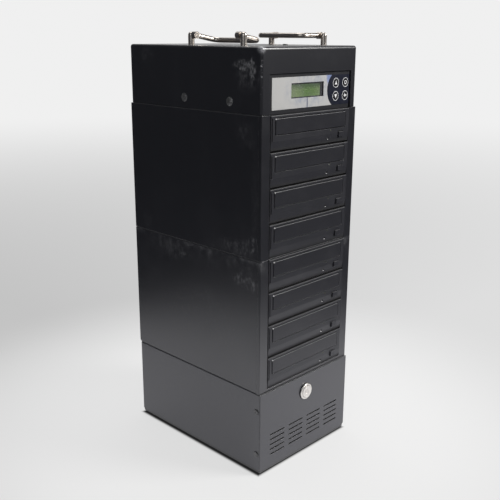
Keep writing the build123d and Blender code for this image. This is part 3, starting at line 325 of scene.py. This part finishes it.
def moulded_plastic(name, tone, roughness=0.42, grain=0.0005, wear=0.12, depth=0.00004):
    """Spark-eroded moulding: a fine even grain, glossy where edges are rubbed, with some dust."""
    finish = Finish(name, IOR=1.5)
    clouds = finish.noise(0.03, 5.0, 0.6).step(0.45, 0.85)
    specks = finish.noise(0.0011, 3.0, 0.6).step(0.64, 0.76)
    dust = clouds * 0.06 + specks * 0.08 + finish.upward() * 0.28
    rubbed = finish.edges(0.0006) * wear
    plastic = finish.mix(dust.held(), grey(tone, blue=tone * 0.2), grey(dust_tone, blue=0.008))
    finish.set(Base_Color=finish.mix(rubbed, plastic, grey(0.2)),
               Roughness=(roughness + dust * 0.6 - rubbed * 0.6).held(0.12, 0.9))
    finish.relief(finish.noise(grain, 2.0, 0.5), depth, 0.00035)
    return finish


coat(plated_steel("zinc_plate"), "psu_case", "lower_rear_panel", "upper_rear_panel",
     "drive_shells")
coat(moulded_plastic("inlet_plastic", 0.013, 0.38), "power_inlet", "psu_rocker")


# Fans
# Three moulded frames with a fixed shaft, seven-bladed rotors, and bright wire guards with
# bent eyes at the screws.

fan_plastic = moulded_plastic("fan_plastic", 0.016, 0.46)
coat(fan_plastic, "fan_frames", "psu_fan_rotor", "lower_fan_rotor", "upper_fan_rotor")
coat(plated_steel("guard_wire", 0.62, 0.22, 0.002), "fan_guards")


# Power button
# A turned metal push button: a rounded head ring on a threaded barrel, and a sprung cap with
# lathe marks that run round its own axis.

seal_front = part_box("power_switch_body")[0].y + 0.0013
seal_inside = 0.009
groove_pitch = 0.0004


def turned_metal(name, node, tone=0.84):
    """Lathe-turned metal: grooves in rings round the node's axis, and a black seal behind."""
    finish = Finish(name)
    low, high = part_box(node)
    x, y, z = finish.axes()
    across = x - (low.x + high.x) / 2
    up = z - (low.z + high.z) / 2
    radius = (across * across + up * up) ** 0.5
    groove = finish.place.math("SINE", radius * (2 * pi / groove_pitch))
    smear = finish.noise(0.004, 4.0, 0.6)
    seal = (y > seal_front) * (radius > seal_inside)
    metal = finish.mix(smear.step(0.4, 0.8) * 0.4, (tone, tone * 0.965, tone * 0.9, 1.0),
                       (tone * 0.6, tone * 0.54, tone * 0.5, 1.0))
    finish.set(Base_Color=finish.mix(seal, metal, grey(0.006)), Metallic=1.0 - seal,
               Roughness=0.3 + smear * 0.16 + seal * 0.3)
    finish.relief(groove * 0.5 + 0.5, 0.00001, 0.0003)
    return finish


coat(turned_metal("switch_metal", "power_switch_cap"), "power_switch_body", "power_switch_cap")


# Drive modules: frames, covers and rear panels
# Each module is a painted front frame with folded edges under a bent cover, closed at the rear
# by a plated panel that was coated above. The covers are scuffed and dusty below the seams.

lower_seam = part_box("lower_cover")[1].z - 0.001
upper_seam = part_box("upper_cover")[1].z - 0.001
lower_scuffs = [((0.043, 0.276), (0.05, 0.014), 0.5), ((-0.096, 0.266), (0.028, 0.014), 0.7),
                ((-0.109, 0.262), (0.012, 0.012), 0.7), ((-0.02, 0.20), (0.10, 0.05), 0.15)]
upper_scuffs = [((-0.080, 0.306), (0.036, 0.012), 0.7), ((-0.108, 0.311), (0.013, 0.015), 0.9),
                ((0.096, 0.311), (0.012, 0.014), 0.5), ((-0.012, 0.290), (0.10, 0.006), 0.35),
                ((-0.038, 0.299), (0.005, 0.002), 1.6), ((-0.097, 0.445), (0.018, 0.022), 0.4),
                ((-0.112, 0.37), (0.008, 0.08), 0.25)]
lower_paint = black_paint("lower_module_paint", [lower_seam], lower_scuffs)
upper_paint = black_paint("upper_module_paint", [upper_seam], upper_scuffs)
coat(lower_paint, "lower_cover", "lower_bay_frame")
coat(upper_paint, "upper_cover", "upper_bay_frame")


# Drives
# Eight moulded drive fronts, each with a tray that is one piece with its door, and an eject
# button. Inside are the loader decks, of greyer plastic, and the metal mechanisms.

drive_count = 8
bezel_boxes = [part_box(f"drive_bezel_{number}") for number in range(1, drive_count + 1)]
bezel_front = bezel_boxes[0][0].y
bezel_top = max(high.z for _, high in bezel_boxes)
drive_pitch = (bezel_top - min(high.z for _, high in bezel_boxes)) / (drive_count - 1)
door_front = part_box("disc_tray_1")[0].y
# A painted highlight line along each door's top edge: its drop below the drive's top, and its
# height.
door_highlight_drop = 0.0038
highlight_height = 0.0006
gap_shade_depth = 0.012
# Painted glints: one under each pin hole, and at each door's upper left and lower right corners.
pin_hole_glint = [((0.0325, 0.0368), 0.0009, 0.9)]
door_corner_glints = [((-0.0657, 0.0043), 0.0011, 0.75), ((0.0655, 0.0222), 0.0008, 0.3)]


def drive_front(name, front, tone, roughness, wear, spots, highlight_drop=None):
    """Fine-grained moulding, with painted shade that makes it dark and dull in the gaps behind its
    front.

    Painted highlights mark spots and a line along an edge, at the same drop below the top of each
    drive. A spot is its middle (x, drop), its radius and its strength.
    """
    finish = moulded_plastic(name, tone, roughness, 0.0006, wear)
    x, y, z = finish.axes()
    drop = (bezel_top - z) % drive_pitch
    # Painted shade on the walls of the gaps behind the front.
    gap_shade = y.step(front + 0.0006, front + 0.0014) * (y < front + gap_shade_depth)
    # Painted highlights: a line along the edge, and glints in spots.
    painted_glints = 0.0
    if highlight_drop:
        along = finish.noise(0.02, 3.0, 0.6, finish.stretched(1.0, 0.0, 0.05)).step(0.2, 0.8)
        painted_glints = (drop > highlight_drop) * (drop < highlight_drop + highlight_height) * (along * 0.5 + 0.5) * 0.1
    for place, radius, strength in spots:
        painted_glints = finish.spot(x, drop, place, (radius, radius)) * strength + painted_glints
    shaded_gaps = finish.mix(gap_shade * 0.9, finish.fed("Base Color"), grey(0.001))
    finish.set(Base_Color=finish.mix(painted_glints, shaded_gaps, grey(0.75)),
               Roughness=finish.fed("Roughness") + gap_shade * 0.45)
    return finish


# The high wear on the drive fronts and eject buttons rubs their edges lighter. It is partly real
# wear and partly a painted highlight on those edges.
bezel_plastic = drive_front("bezel_plastic", bezel_front, 0.024, 0.38, 0.34, pin_hole_glint)
door_plastic = drive_front("door_plastic", door_front, 0.022, 0.32, 0.5, door_corner_glints,
                           door_highlight_drop)
button_plastic = moulded_plastic("button_plastic", 0.024, 0.34, 0.0006, 0.5)
for number in range(1, drive_count + 1):
    coat(bezel_plastic, f"drive_bezel_{number}")
    coat(door_plastic, f"disc_tray_{number}")
    coat(button_plastic, f"eject_button_{number}")
coat(moulded_plastic("inner_plastic", 0.05, 0.5), "drive_loaders")
coat(plated_steel("mechanism_metal", 0.45, 0.3), "drive_mechanisms")


def faced_outwards(mesh):
    """Turns the faces of a closed mesh outwards and shades it smooth."""
    shell = bmesh.new()
    shell.from_mesh(mesh)
    bmesh.ops.recalc_face_normals(shell, faces=shell.faces)
    shell.to_mesh(mesh)
    shell.free()
    mesh.shade_smooth()
    return mesh


def closed_mesh(name, rings):
    """Rings of points joined ring to ring, with a face over the first and the last."""
    count, around = rings.shape[:2]
    index = np.arange(count * around).reshape(count, around)
    ahead = np.roll(index, -1, axis=1)
    sides = np.stack([index[:-1], index[1:], ahead[1:], ahead[:-1]], -1).reshape(-1, 4)
    ends = [index[0].tolist(), index[-1].tolist()]
    mesh = bpy.data.meshes.new(name)
    mesh.from_pydata(rings.reshape(-1, 3).tolist(), [], sides.tolist() + ends)
    return faced_outwards(mesh)


def add_piece(name, mesh, finish, body):
    """Puts a finished mesh in the scene as a piece that rides on a body."""
    piece = bpy.data.objects.new(name, mesh)
    bpy.context.scene.collection.objects.link(piece)
    mesh.materials.append(finish.material)
    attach(piece, body)
    return piece


lens_right = 0.037
lens_drop = 0.0259
lens_half_width = 0.00155
lens_half_height = 0.0006
lens_sides = 24


def lens_rings(front, x, z):
    """Rings of an oval, where (across / half width)^4 + (up / half height)^4 is 1.

    From the back to the front each ring has its depth and its share of the oval's size.
    """
    angle = np.linspace(0.0, 2 * pi, lens_sides, endpoint=False)
    across = np.sign(np.cos(angle)) * np.abs(np.cos(angle)) ** 0.5
    up = np.sign(np.sin(angle)) * np.abs(np.sin(angle)) ** 0.5
    share = np.array([1.0, 1.0, 0.96, 0.86, 0.6])[:, None]
    depth = np.array([0.0008, 0.0002, 0.00008, 0.0, -0.00004])[:, None]
    return np.stack(np.broadcast_arrays(x + lens_half_width * share * across, front + depth,
                                        z + lens_half_height * share * up), -1)


def smoked_lens():
    """Clear plastic with a brown-green tint and a little haze."""
    finish = Finish("smoked_lens", IOR=1.49, Coat_Roughness=0.05)
    haze = finish.noise(0.001, 3.0, 0.6)
    finish.set(Base_Color=finish.mix(haze * 0.5, (0.03, 0.035, 0.02, 1.0), (0.10, 0.11, 0.07, 1.0)),
               Roughness=0.12 + haze * 0.1)
    return finish


lens_plastic = smoked_lens()
for number, (low, high) in enumerate(bezel_boxes, 1):
    name = f"activity_lens_{number}"
    lens = closed_mesh(name, lens_rings(low.y, lens_right, high.z - lens_drop))
    add_piece(name, lens, lens_plastic, "tower")


# Controller module: case
# A deep rounded steel cover, painted like the modules but more knocked about: its front left
# corner is chipped to pale primer, and hands have scuffed the side beside it.

case_low, case_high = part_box("top_case")
case_scuffs = [((-0.091, 0.525), (0.019, 0.008), 2.6), ((-0.106, 0.520), (0.006, 0.016), 3.0),
               ((-0.098, 0.512), (0.024, 0.022), 0.9), ((0.086, 0.533), (0.016, 0.012), 0.6)]
chip_corner = (case_low.x + 0.001, case_low.y + 0.001, case_high.z - 0.001)
chip_reach = 0.0085
upright_width = 0.0022


def case_paint():
    """The case's coat, chipped to primer at its front left corner and along the upright below."""
    finish = black_paint("case_paint", scuffs=case_scuffs, wear=0.1, settled=0.06)
    x, y, z = finish.axes()
    away = finish.node("VectorMath", {"operation": "DISTANCE"}, {0: finish.place, 1: chip_corner},
                       "Value")
    upright = (x < case_low.x + upright_width) * (y < case_low.y + upright_width)
    upright = upright * (z > case_low.z + 0.02)
    ragged = finish.noise(0.0022, 4.0, 0.7)
    chips = (1.0 - away.step(0.001, chip_reach)) * ragged.step(0.36, 0.5)
    chips = chips + upright * ragged.step(0.6, 0.66)
    finish.set(Base_Color=finish.mix(chips.held(), finish.fed("Base Color"), grey(0.42, blue=0.02)))
    return finish


coat(case_paint(), "top_case")


# Controller panel and board
# A moulded plate behind the case's opening, and the green circuit board on its posts.

coat(moulded_plastic("panel_plastic", 0.016, 0.4), "controller_panel")


def circuit_board():
    """Green lacquer, paler over a net of tracks."""
    finish = Finish("circuit_board", IOR=1.5)
    net = {"Vector": finish.place, "Scale": 160.0, "Mortar Size": 0.03}
    tracks = finish.node("TexBrick", {}, net, "Fac")
    finish.set(Base_Color=finish.mix(tracks, (0.01, 0.09, 0.03, 1.0), (0.03, 0.2, 0.07, 1.0)),
               Roughness=0.4 + finish.noise(0.003, 3.0) * 0.1)
    return finish


coat(circuit_board(), "controller_board")


# Display
# A two-line character display: a green face with faint blank cells, in a black frame whose extra
# width on the right and at the top is painted shade from the walls of its recess, behind a clear
# pane that has gone a little hazy.

pane_low, pane_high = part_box("lcd_window")
face_depth = pane_high.y - 0.00025
cell_depth = 0.00008
cell_pitch = (0.0033, 0.0058)
cell_start = (0.0019, 0.0030)


def display_face():
    """The face over x and z, sunk in 16 by 2 cells, where the sine waves across and up are high."""
    x = np.linspace(pane_low.x + 0.0003, pane_high.x - 0.0003, 193)
    z = np.linspace(pane_low.z + 0.0003, pane_high.z - 0.0003, 49)
    across, up = np.meshgrid(x, z)
    column = (across - pane_low.x - cell_start[0]) / cell_pitch[0]
    line = (up - pane_low.z - cell_start[1]) / cell_pitch[1]
    inside = (column > 0) & (column < 16) & (line > 0) & (line < 2)
    wide = np.clip(3.0 * np.abs(np.sin(pi * column)) - 0.8, 0, 1)
    tall = np.clip(4.0 * np.abs(np.sin(pi * line)) - 0.9, 0, 1)
    depth = face_depth + cell_depth * wide * tall * inside
    points = np.stack([across, depth, up], -1).reshape(-1, 3)
    index = np.arange(x.size * z.size).reshape(z.size, x.size)
    faces = np.stack([index[:-1, :-1], index[:-1, 1:], index[1:, 1:], index[1:, :-1]], -1)
    mesh = bpy.data.meshes.new("display_face")
    mesh.from_pydata(points.tolist(), [], faces.reshape(-1, 4).tolist())
    return mesh


def display_green():
    """Green that is greyer to both sides, with a painted shadow under the top edge, and darker in
    the cells.
    """
    finish = Finish("display_green", IOR=1.5, Coat_Weight=0.6, Coat_Roughness=0.12)
    x, y, z = finish.axes()
    across = (x - pane_low.x) / (pane_high.x - pane_low.x)
    up = (z - pane_low.z) / (pane_high.z - pane_low.z)
    haze = finish.noise(0.03, 2.0, 0.4).step(0.3, 0.75)
    sides = (1.0 - across.step(0.1, 0.5)) * 0.9 + across.step(0.62, 0.95) * 0.6
    greyed = finish.mix((sides * (0.6 + haze * 0.4)).held(), (0.10, 0.19, 0.04, 1.0),
                        (0.23, 0.29, 0.14, 1.0))
    # Painted shadow under the window's top edge.
    shaded = finish.mix(up.step(0.42, 0.95) * (0.55 + haze * 0.45), greyed,
                        (0.03, 0.055, 0.03, 1.0))
    cell = (y > face_depth + 0.00003) * 0.1
    finish.set(Base_Color=finish.mix(cell, shaded, (0.02, 0.05, 0.02, 1.0)),
               Roughness=0.45 + haze * 0.1)
    return finish


face = add_piece("display_face", display_face(), display_green(), "tower")
backing = face.modifiers.new("backing", "SOLIDIFY")
backing.thickness = 0.0002
backing.offset = -1.0


def cut_sheet(name, front, thickness, *outlines, edge=0.00003):
    """A sheet cut to its first outline, with the others as holes; outlines are points (x, z)."""
    curve = bpy.data.curves.new(name, "CURVE")
    curve.dimensions = "2D"
    curve.fill_mode = "BOTH"
    curve.extrude = thickness / 2 - edge
    curve.bevel_depth = edge
    for outline in outlines:
        spline = curve.splines.new("POLY")
        spline.points.add(len(outline) - 1)
        placed = np.pad(np.asarray(outline, float), ((0, 0), (0, 2)))
        spline.points.foreach_set("co", placed.ravel())
        spline.use_cyclic_u = True
    mesh = bpy.data.meshes.new_from_object(bpy.data.objects.new(name, curve))
    upright = Matrix.Rotation(pi / 2, 4, "X")
    mesh.transform(Matrix.Translation((0.0, front + thickness / 2, 0.0)) @ upright)
    return mesh


def rounded_box(x_low, x_high, z_low, z_high, radius, steps=6):
    """A rectangle with quarter circles: a corner's centre plus radius times (cosine, sine)."""
    turn = np.linspace(0.0, pi / 2, steps)
    corners = [(x_high, z_high, 0.0), (x_low, z_high, pi / 2), (x_low, z_low, pi),
               (x_high, z_low, 1.5 * pi)]
    arcs = []
    for x, z, start in corners:
        centre = (x - radius * np.sign(cos(start + pi / 4)),
                  z - radius * np.sign(sin(start + pi / 4)))
        arcs.append(np.stack([centre[0] + radius * np.cos(start + turn),
                              centre[1] + radius * np.sin(start + turn)], -1))
    return np.concatenate(arcs)


def pane_outline(left, right, low, high, radius):
    """The pane's outline, set in from each of its edges by a distance."""
    return rounded_box(pane_low.x + left, pane_high.x - right, pane_low.z + low,
                       pane_high.z - high, radius)


# The frame's wide right side and wider top are painted shade from the recess walls.
display_frame_and_shade = cut_sheet("display_frame_and_shade", face_depth - 0.0005, 0.0004,
                          pane_outline(0.0002, 0.0002, 0.0002, 0.0002, 0.0005),
                          pane_outline(0.0012, 0.0046, 0.0011, 0.0014, 0.0004))
add_piece("display_frame_and_shade", display_frame_and_shade, moulded_plastic("display_frame_black", 0.012, 0.45),
          "tower")


def hazy_pane():
    """Clear acrylic, almost unseen, with a thin uneven haze."""
    finish = Finish("hazy_pane", IOR=1.46)
    haze = finish.noise(0.012, 4.0, 0.6).step(0.4, 0.8)
    finish.set(Base_Color=finish.mix(haze, grey(0.32, blue=0.03), grey(0.5, blue=0.04)),
               Alpha=0.03 + haze * 0.06, Roughness=0.08 + haze * 0.2)
    return finish


pane = cut_sheet("display_pane", pane_low.y, 0.0002,
                 pane_outline(0.0001, 0.0001, 0.0001, 0.0001, 0.0004))
display_pane = add_piece("display_pane", pane, hazy_pane(), "tower")
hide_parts("lcd_window")


# Printed overlay
# A printed film glued on the plate, cut out for the display and the keys. It is silver up to an
# arc and dark navy beyond it, with a blue tint at the top of the arc. Its left end is bare.

overlay_thickness = 0.0002
overlay_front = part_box("controller_panel")[0].y - overlay_thickness
overlay_left = -0.0689
overlay_right = 0.0772
overlay_low = 0.47395
overlay_high = 0.5110
arc_centre = (0.0553, 0.4927)
arc_radius = 0.0230
key_hole = 0.0050
key_columns = (0.0495, 0.0688)
key_rows = (0.4846, 0.5010)
key_spots = [(x, z) for x in key_columns for z in key_rows]


def circle(x, z, radius, count=48):
    """Points round (x, z): the centre plus radius times (cosine, sine)."""
    angle = np.linspace(0.0, 2 * pi, count, endpoint=False)
    return np.stack([x + radius * np.cos(angle), z + radius * np.sin(angle)], -1)


def printed_film():
    """Silver and navy by the distance from the arc's centre, with soft smears that are partly a
    painted bluish reflection near the display, and fine dust.
    """
    finish = Finish("printed_film", IOR=1.5)
    x, _, z = finish.axes()
    right = x - arc_centre[0]
    up = z - arc_centre[1]
    inside = (right * right + up * up) ** 0.5 < arc_radius
    navy = inside.larger(right > 0.0)
    cloud = finish.noise(0.010, 4.0, 0.6).step(0.35, 0.8)
    streak = finish.noise(0.006, 4.0, 0.6, finish.stretched(1.0, 1.0, 0.2)).step(0.5, 0.8)
    # Bluish patches near the display: partly smears, partly a painted reflection.
    near_display = finish.spot(x, z, (-0.004, 0.4945), (0.050, 0.026))
    smears_and_reflection = (near_display * (cloud * 0.8 + streak * 0.5)).held()
    silver = finish.mix(smears_and_reflection, (0.52, 0.515, 0.505, 1.0), (0.25, 0.285, 0.38, 1.0))
    line = finish.spot(x, z, (-0.0055, 0.4790), (0.0016, 0.012)) * 0.75
    silver = finish.mix(line, silver, (0.09, 0.11, 0.18, 1.0))
    tint = finish.spot(x, z, (0.0375, 0.5115), (0.009, 0.017))
    silver = finish.mix(tint * 0.75, silver, (0.11, 0.18, 0.44, 1.0))
    dust = finish.noise(0.0012, 3.0, 0.6).step(0.66, 0.76) * 0.12
    dark = finish.mix(dust, (0.006, 0.008, 0.020, 1.0), grey(dust_tone))
    finish.set(Base_Color=finish.mix(navy, silver, dark), Roughness=0.34 + cloud * 0.12)
    finish.relief(finish.noise(0.0007, 2.0), 0.00001)
    return finish


window = pane_outline(-0.0001, -0.0001, -0.0001, -0.0001, 0.0004)
film_outline = rounded_box(overlay_left, overlay_right, overlay_low, overlay_high, 0.0008)
film = cut_sheet("panel_overlay", overlay_front, overlay_thickness, film_outline, window,
                 *[circle(x, z, key_hole) for x, z in key_spots])
add_piece("panel_overlay", film, printed_film(), "tower")


# Keys
# Four round keys of black plastic in thick printed white rings. The left pair has arrows up and
# down; the right pair has plain signs for back and enter. The signs ride on the keys.

key_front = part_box("key_up")[0].y
ring_radius = 0.00568
ring_half_width = 0.00034
ring_half_height = 0.00008
sign_thickness = 0.00012
coat(moulded_plastic("key_plastic", 0.010, 0.3), "key_down", "key_up", "key_back", "key_enter")


def white_print():
    """Screen-printed white, worn thin in small patches."""
    finish = Finish("white_print", IOR=1.5)
    worn = finish.noise(0.0012, 4.0, 0.65).step(0.5, 0.8)
    finish.set(Base_Color=finish.mix(worn * 0.4, grey(0.82, blue=0.01), grey(0.5)),
               Roughness=0.45 + worn * 0.2)
    return finish


def printed_ring(name, x, z):
    """An oval section carried round a circle.

    Its reach is the radius plus half width times cosine, and its rise half height times sine.
    """
    around = np.linspace(0.0, 2 * pi, 64, endpoint=False)[:, None]
    section = np.linspace(0.0, 2 * pi, 9, endpoint=False)[None, :]
    reach = ring_radius + ring_half_width * np.cos(section)
    rise = ring_half_height * np.sin(section)
    points = np.stack(np.broadcast_arrays(x + reach * np.cos(around), overlay_front - rise,
                                          z + reach * np.sin(around)), -1)
    index = np.arange(points.shape[0] * points.shape[1]).reshape(points.shape[:2])
    onward = np.roll(index, -1, axis=0)
    faces = np.stack([index, onward, np.roll(onward, -1, axis=1), np.roll(index, -1, axis=1)], -1)
    mesh = bpy.data.meshes.new(name)
    mesh.from_pydata(points.reshape(-1, 3).tolist(), [], faces.reshape(-1, 4).tolist())
    return faced_outwards(mesh)


def arrow(x, z, way):
    """A triangle that points up (way 1) or down (way -1)."""
    return [(x - 0.0026 * way, z - 0.0022 * way), (x + 0.0026 * way, z - 0.0022 * way),
            (x, z + 0.0028 * way)]


def back_sign(x, z):
    """An arrow that points left, with a short tail."""
    return [(x - 0.0029, z), (x - 0.0002, z - 0.0024), (x - 0.0002, z - 0.0009),
            (x + 0.0027, z - 0.0009), (x + 0.0027, z + 0.0009), (x - 0.0002, z + 0.0009),
            (x - 0.0002, z + 0.0024)]


down_spot, up_spot, back_spot, enter_spot = key_spots
key_signs = {"down": [arrow(*down_spot, -1)], "up": [arrow(*up_spot, 1)],
             "back": [back_sign(*back_spot)],
             "enter": [circle(*enter_spot, 0.0024, 32), circle(*enter_spot, 0.0015, 32)]}
key_print = white_print()
for (key, outlines), (x, z) in zip(key_signs.items(), key_spots):
    ring = printed_ring(f"{key}_key_ring", x, z)
    add_piece(f"{key}_key_ring", ring, key_print, "tower")
    sign = cut_sheet(f"{key}_key_sign", key_front - sign_thickness / 2, sign_thickness, *outlines,
                     edge=0.00002)
    add_piece(f"{key}_key_sign", sign, key_print, f"{key}_key")


# Handles
# Four chromed posts and two bent chromed bars that fold on pins between them. The chrome is warm
# and smooth, with thin brown stains.


def old_chrome():
    """Bright warm metal, browner and duller where it is stained."""
    finish = Finish("handle_chrome", Metallic=1.0)
    stain = finish.noise(0.014, 5.0, 0.6).step(0.45, 0.8)
    fine = finish.noise(0.0008, 3.0, 0.6)
    finish.set(Base_Color=finish.mix(stain * 0.5, (0.64, 0.585, 0.53, 1.0),
                                     (0.38, 0.31, 0.26, 1.0)),
               Roughness=0.3 + stain * 0.1 + fine * 0.02)
    return finish


coat(old_chrome(), "handle_posts", "left_handle_bar", "right_handle_bar")


# Wiring and screws
# A wrapped bundle of wires inside, black screws on the outside and plated ones on the drives.

coat(moulded_plastic("wire_sleeve", 0.03, 0.5, 0.0012, depth=0.0002), "wiring_loom")
coat(plated_steel("drive_screw_steel", 0.5, 0.3, 0.001), "drive_screws")


def screw_steel():
    """Blackened steel, brighter where a driver and fingers have rubbed it."""
    finish = Finish("screw_steel", Metallic=0.5)
    worn = finish.noise(0.0016, 4.0, 0.6).step(0.42, 0.72)
    rubbed = finish.edges(0.0004) * 0.5
    finish.set(Base_Color=finish.mix((worn * 0.4 + rubbed).held(), grey(0.11), grey(0.4)),
               Roughness=0.38 + worn * 0.2)
    finish.relief(worn, 0.00001, 0.0002)
    return finish


coat(screw_steel(), "case_screws")


# Studio
# A pale sweep of paper under soft lamps, in a room that is otherwise dark: beyond the paper's
# edge the tower mirrors little light, so its paint goes from black at the top to grey at the foot.

camera_place = (-0.70904, -0.71282, 0.55988)
camera_yaw = 0.795
camera_pitch = 0.284
camera_roll = 0.005
focal_pixels = 741.17
frame_pixels = 500.0
paper_tone = 0.87
paper_shade = 0.14  # where the sweep bends up
left_shade = 0.18  # and more on its left
paper_reach = 0.42  # where the paper that the tower mirrors begins to fade
paper_end = 0.72
floor_light = 1.05
floor_radius = 6.0
room_colour = (0.045, 0.048, 0.056, 1.0)
room_light = 0.22
lamp_target = (0.0, 0.0, 0.3)


def photograph_camera():
    """The camera that was fitted to the photograph: forward from yaw and pitch, then rolled."""
    forward = Vector((sin(camera_yaw) * cos(camera_pitch), cos(camera_yaw) * cos(camera_pitch),
                      -sin(camera_pitch)))
    right = Vector((cos(camera_yaw), -sin(camera_yaw), 0.0))
    up = right.cross(forward)
    level_right = right * cos(camera_roll) + up * sin(camera_roll)
    level_up = up * cos(camera_roll) - right * sin(camera_roll)
    data = bpy.data.cameras.new("camera")
    data.sensor_width = 36.0
    data.lens = focal_pixels / frame_pixels * data.sensor_width
    data.clip_start = 0.05
    camera = bpy.data.objects.new("camera", data)
    bpy.context.scene.collection.objects.link(camera)
    turn = Matrix((level_right, level_up, -forward)).transposed()
    camera.matrix_world = Matrix.Translation(camera_place) @ turn.to_4x4()
    bpy.context.scene.camera = camera


def soft_lamp(name, place, size, power, colour=(1.0, 1.0, 1.0)):
    """A round lamp that faces the tower's middle."""
    data = bpy.data.lights.new(name, "AREA")
    data.shape = "DISK"
    data.size = size
    data.energy = power
    data.color = colour
    lamp = bpy.data.objects.new(name, data)
    bpy.context.scene.collection.objects.link(lamp)
    aim = (Vector(lamp_target) - Vector(place)).to_track_quat("-Z", "Y")
    lamp.matrix_world = Matrix.Translation(place) @ aim.to_matrix().to_4x4()


def floor_mesh():
    """A disc on rings and spokes: a ring's radius is the floor's times the square of its share."""
    rings = 24
    spokes = 64
    radius = floor_radius * np.linspace(0.0, 1.0, rings) ** 2
    radius[0] = 0.001
    angle = np.linspace(0.0, 2 * pi, spokes, endpoint=False)
    x, y = radius[:, None] * np.cos(angle), radius[:, None] * np.sin(angle)
    points = np.stack([x, y, np.zeros_like(x)], -1).reshape(-1, 3)
    index = np.arange(rings * spokes).reshape(rings, spokes)
    ahead = np.roll(index, -1, axis=1)
    faces = np.stack([index[:-1], index[1:], ahead[1:], ahead[:-1]], -1).reshape(-1, 4)
    mesh = bpy.data.meshes.new("floor")
    mesh.from_pydata(points.tolist(), [], faces.tolist() + [index[0].tolist()])
    return mesh


def floor_paper():
    """Paper that the camera sees lit evenly, with the tower's shadow and a painted shadow in a band
    under it.

    What the tower mirrors is the same paper up to its end, and the dark room beyond.
    """
    finish = Finish("floor_paper", Roughness=0.9, Specular_IOR_Level=0.0)
    x, y, _ = finish.axes()
    away = (x * x + y * y) ** 0.5
    leftward = ((y - x) / away * 0.5 + 0.5).held()
    bend = away.step(0.2, 0.62) * (1.0 - away.step(0.7, 4.5))
    tone = paper_tone - bend * (paper_shade + leftward * left_shade)
    # Painted contact shadow: dark under the tower's footprint, fading out just beyond it.
    outside = (abs(x) - base_high.x).larger(abs(y) - base_high.y)
    painted_contact_shadow = outside.step(-0.001, 0.005) * 0.98 + 0.02
    camera_ray, glossy = [finish.node("LightPath", {}, {}, f"Is {kind} Ray")
                          for kind in ("Camera", "Glossy")]
    mirrored = finish.mix(away.step(paper_reach, paper_end), grey(0.92, blue=0.04), room_colour)
    lit = tone * painted_contact_shadow / floor_light
    shown = finish.node("CombineColor", {}, {0: lit, 1: lit, 2: lit})
    even = finish.node("CombineColor", {}, {0: tone, 1: tone, 2: tone})
    finish.set(Base_Color=finish.mix(camera_ray, mirrored, shown))
    glow = finish.node("Emission", {}, {"Color": finish.mix(glossy, even, mirrored)}, "Emission")
    share = (camera_ray * (0.76 + away.step(0.2, 0.5) * 0.24) + glossy * 0.6) * painted_contact_shadow
    blend = finish.node("MixShader", {}, {0: share, 2: glow})
    finish.tree.links.new(finish.shader.outputs[0], blend.socket.node.inputs[1])
    finish.tree.links.new(blend.socket, finish.tree.nodes["Material Output"].inputs["Surface"])
    return finish


def pale_floor():
    """The floor, with its paper finish."""
    floor = bpy.data.objects.new("floor", floor_mesh())
    bpy.context.scene.collection.objects.link(floor)
    floor.data.materials.append(floor_paper().material)


def pale_world():
    """Pale to the camera; mirrors and glass see the backdrop behind the tower and a dark room."""
    world = bpy.data.worlds.new("world")
    bpy.context.scene.world = world
    world.use_nodes = True
    tree = world.node_tree
    start = Value(tree, None)
    way = start.node("TexCoord", {}, {}, "Generated")
    x, y, z = [start.node("SeparateXYZ", {}, {0: way}, axis) for axis in range(3)]
    backdrop = (x + y).step(0.7, 1.3) * (1.0 - z.step(0.3, 0.6))
    camera_ray, glossy, through = [start.node("LightPath", {}, {}, f"Is {kind} Ray")
                                   for kind in ("Camera", "Glossy", "Transmission")]
    seen = (camera_ray + (glossy + through) * backdrop).held()
    colours = {"data_type": "RGBA"}
    room = start.node("Mix", colours, {0: glossy, 6: grey(room_light), 7: room_colour}, 2)
    shown = start.node("Mix", colours, {0: seen, 6: room, 7: grey(paper_tone)}, 2)
    tree.links.new(shown.socket, tree.nodes["Background"].inputs["Color"])


photograph_camera()
pale_floor()
pale_world()
soft_lamp("key", (1.1, -1.5, 1.5), 1.0, 46.0, (1.0, 0.99, 0.97))
soft_lamp("fill", (-1.5, -0.9, 1.2), 1.2, 6.0, (0.96, 0.98, 1.0))
soft_lamp("top", (0.3, 0.5, 1.9), 1.2, 10.0)
bpy.context.scene.view_settings.view_transform = "Standard"
